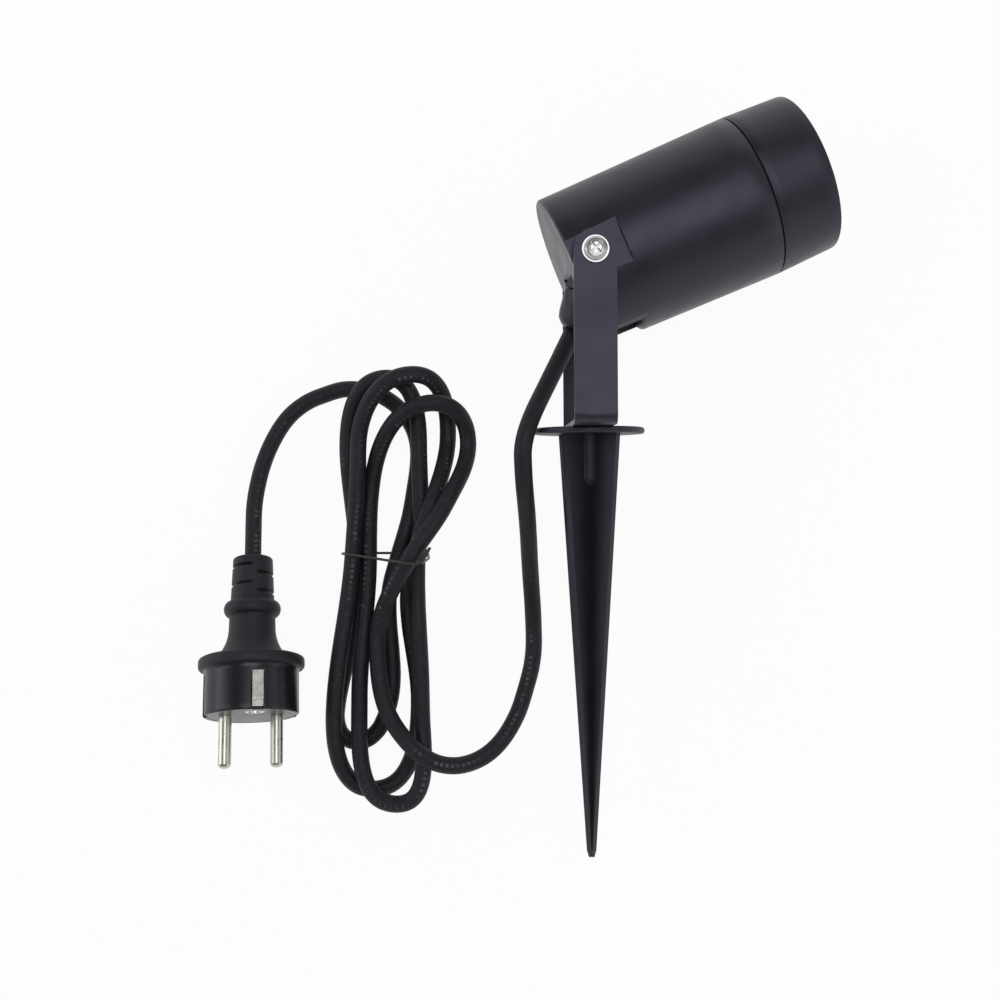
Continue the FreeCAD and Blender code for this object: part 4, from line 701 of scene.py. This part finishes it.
def clear_glass():
    """The front glass, with a trace of smears."""
    g = Graph("clear_glass", Transmission_Weight=1.0, IOR=1.5)
    smear = g.patches(0.01, 3.0, 0.45, 0.75)
    colour = g.mixed(smear, (0.94, 0.98, 0.97), (0.9, 0.94, 0.93))
    return g.finish(colour, g.spread(smear, 0.0, 1.0, 0.02, 0.09))


def all_materials():
    """A material for each slot of the record."""
    found = {name: coated(name, *row) for name, row in COATED.items()}
    found.update((name, metal(name, *row)) for name, row in METALS.items())
    found.update(clear_glass=clear_glass(), cord_rubber=cord_rubber(), plug_rubber=plug_rubber())
    return found


def dress(materials, made):
    """Every node and piece gets the material of its slot."""
    slots = {part["node"]: part["material_slot"] for part in frame["record"]["subparts"]}
    for name, node in NODES.items():
        for place in node.material_slots:
            place.material = materials[slots[name]]
    for piece, slot in made:
        piece.data.materials.append(materials[slot])


# ---- CAD nodes that show: their sharp edges get small rounds, in millimetres ----
EDGE_ROUNDS = {
    "yoke": 0.25, "head_housing": 0.3, "front_ring": 0.3, "spike": 0.25, "gland_nut": 0.3,
    "gland_body": 0.2, "pivot_screws": 0.12, "pivot_washers": 0.12, "spike_bolt": 0.15,
    "bolt_washer": 0.12, "plug_face": 0.2, "plug_earth_clips": 0.12, "plug_earth_socket": 0.12,
    "friction_spacers": 0.15,
}
SAME_POINT = 0.000002           # points this close are one
SHARP_ANGLE = math.radians(32)


def round_edges():
    """Joins the nodes' split points and rounds their sharp edges."""
    for name, width in EDGE_ROUNDS.items():
        node = NODES[name]
        weld = node.modifiers.new("weld", "WELD")
        weld.merge_threshold = SAME_POINT
        bevel = node.modifiers.new("rounds", "BEVEL")
        bevel.width = width * MM
        bevel.segments = 2
        bevel.limit_method = "ANGLE"
        bevel.angle_limit = SHARP_ANGLE
        bevel.harden_normals = True


# ---- floor, background and light ----
FLOOR_R, FLOOR_SIDES = 8.0, 96
FLOOR_DROP = 0.0002             # the floor's gap to the lowest points, so that none dips into it
WHITE_SHARE = 0.94              # how much of the floor's white doesn't take shadows
WHITE_BELOW, DIM_ABOVE, DIM = 0.3, 0.6, 0.22    # the world's light, by the height of its direction
LIGHTS_LOOK_AT = (-0.03, 0.0, 0.03)
# Name, place, size and radiance, where 1 is white.
LIGHTS = [
    ("key", (0.22, 0.12, 1.25), (0.9, 0.9), 2.6),
    ("left", (-1.2, 0.1, 0.75), (0.5, 1.0), 1.8),
    ("right", (1.2, -0.1, 0.7), (0.5, 1.0), 0.5),
]


def seen_directly(g):
    """1 for the rays that show the background: the camera's, and those of gloss and clear glass."""
    rays = g.add("ShaderNodeLightPath").outputs
    seen = g.sum("MAXIMUM", rays["Is Camera Ray"], rays["Is Glossy Ray"])
    return g.sum("MAXIMUM", seen, rays["Is Transmission Ray"])


def add_floor():
    """A wide pale floor that stays white in the picture and takes a soft shadow."""
    bm = bmesh.new()
    bmesh.ops.create_circle(bm, cap_ends=True, segments=FLOOR_SIDES, radius=FLOOR_R)
    floor = shown(bm, "floor")
    floor.location.z = -FLOOR_DROP
    g = Graph("floor", Specular_IOR_Level=0.0)
    pale = g.mixed(g.patches(0.05), (0.85, 0.85, 0.85), (0.87, 0.87, 0.87))
    g.finish(pale, g.spread(g.noise(0.01, 3.0), 0.0, 1.0, 0.75, 0.85))
    glow = g.add("ShaderNodeEmission", [("Color", (1, 1, 1, 1)), ("Strength", 1.0)])
    share = g.sum("MULTIPLY", seen_directly(g), WHITE_SHARE)
    shaders = [(0, share), (1, g.shader.outputs[0]), (2, glow.outputs[0])]
    both = g.add("ShaderNodeMixShader", shaders)
    g.feed(g.tree.nodes["Material Output"].inputs["Surface"], both.outputs[0])
    floor.data.materials.append(g.material)


def add_world():
    """Soft surrounding light: white near the horizon and below, dim above."""
    world = bpy.data.worlds.new("studio")
    SCENE.world = world
    world.use_nodes = True
    tree = world.node_tree
    where = tree.nodes.new("ShaderNodeTexCoord")
    parts = tree.nodes.new("ShaderNodeSeparateXYZ")
    strength = tree.nodes.new("ShaderNodeMapRange")
    strength.interpolation_type = "SMOOTHSTEP"
    for key, value in (("From Min", WHITE_BELOW), ("From Max", DIM_ABOVE),
                       ("To Min", 1.0), ("To Max", DIM)):
        strength.inputs[key].default_value = value
    tree.links.new(where.outputs["Generated"], parts.inputs[0])
    tree.links.new(parts.outputs["Z"], strength.inputs["Value"])
    background = tree.nodes["Background"]
    background.inputs["Color"].default_value = (1, 1, 1, 1)
    tree.links.new(strength.outputs[0], background.inputs["Strength"])


def add_softbox(name, at, size, radiance):
    """A soft rectangular lamp that looks at the object."""
    light = bpy.data.lights.new(name, "AREA")
    light.shape = "RECTANGLE"
    light.size, light.size_y = size
    light.energy = radiance * math.pi * size[0] * size[1]
    lamp = bpy.data.objects.new(name, light)
    SCENE.collection.objects.link(lamp)
    lamp.location = at
    towards = Vector(LIGHTS_LOOK_AT) - Vector(at)
    lamp.rotation_euler = towards.to_track_quat("-Z", "Y").to_euler()
    lamp.visible_camera = False


SCENE.view_settings.view_transform = "Standard"
add_camera()
cord, cord_line = add_cord()
relief, plug, tie = add_relief(), add_plug(), add_tie()
round_edges()
dress(all_materials(), [(cord, "cord_rubber"), (relief, "plug_rubber"), (plug, "plug_rubber"),
                        (tie, "tie_wire")])
add_floor()
add_world()
for row in LIGHTS:
    add_softbox(*row)
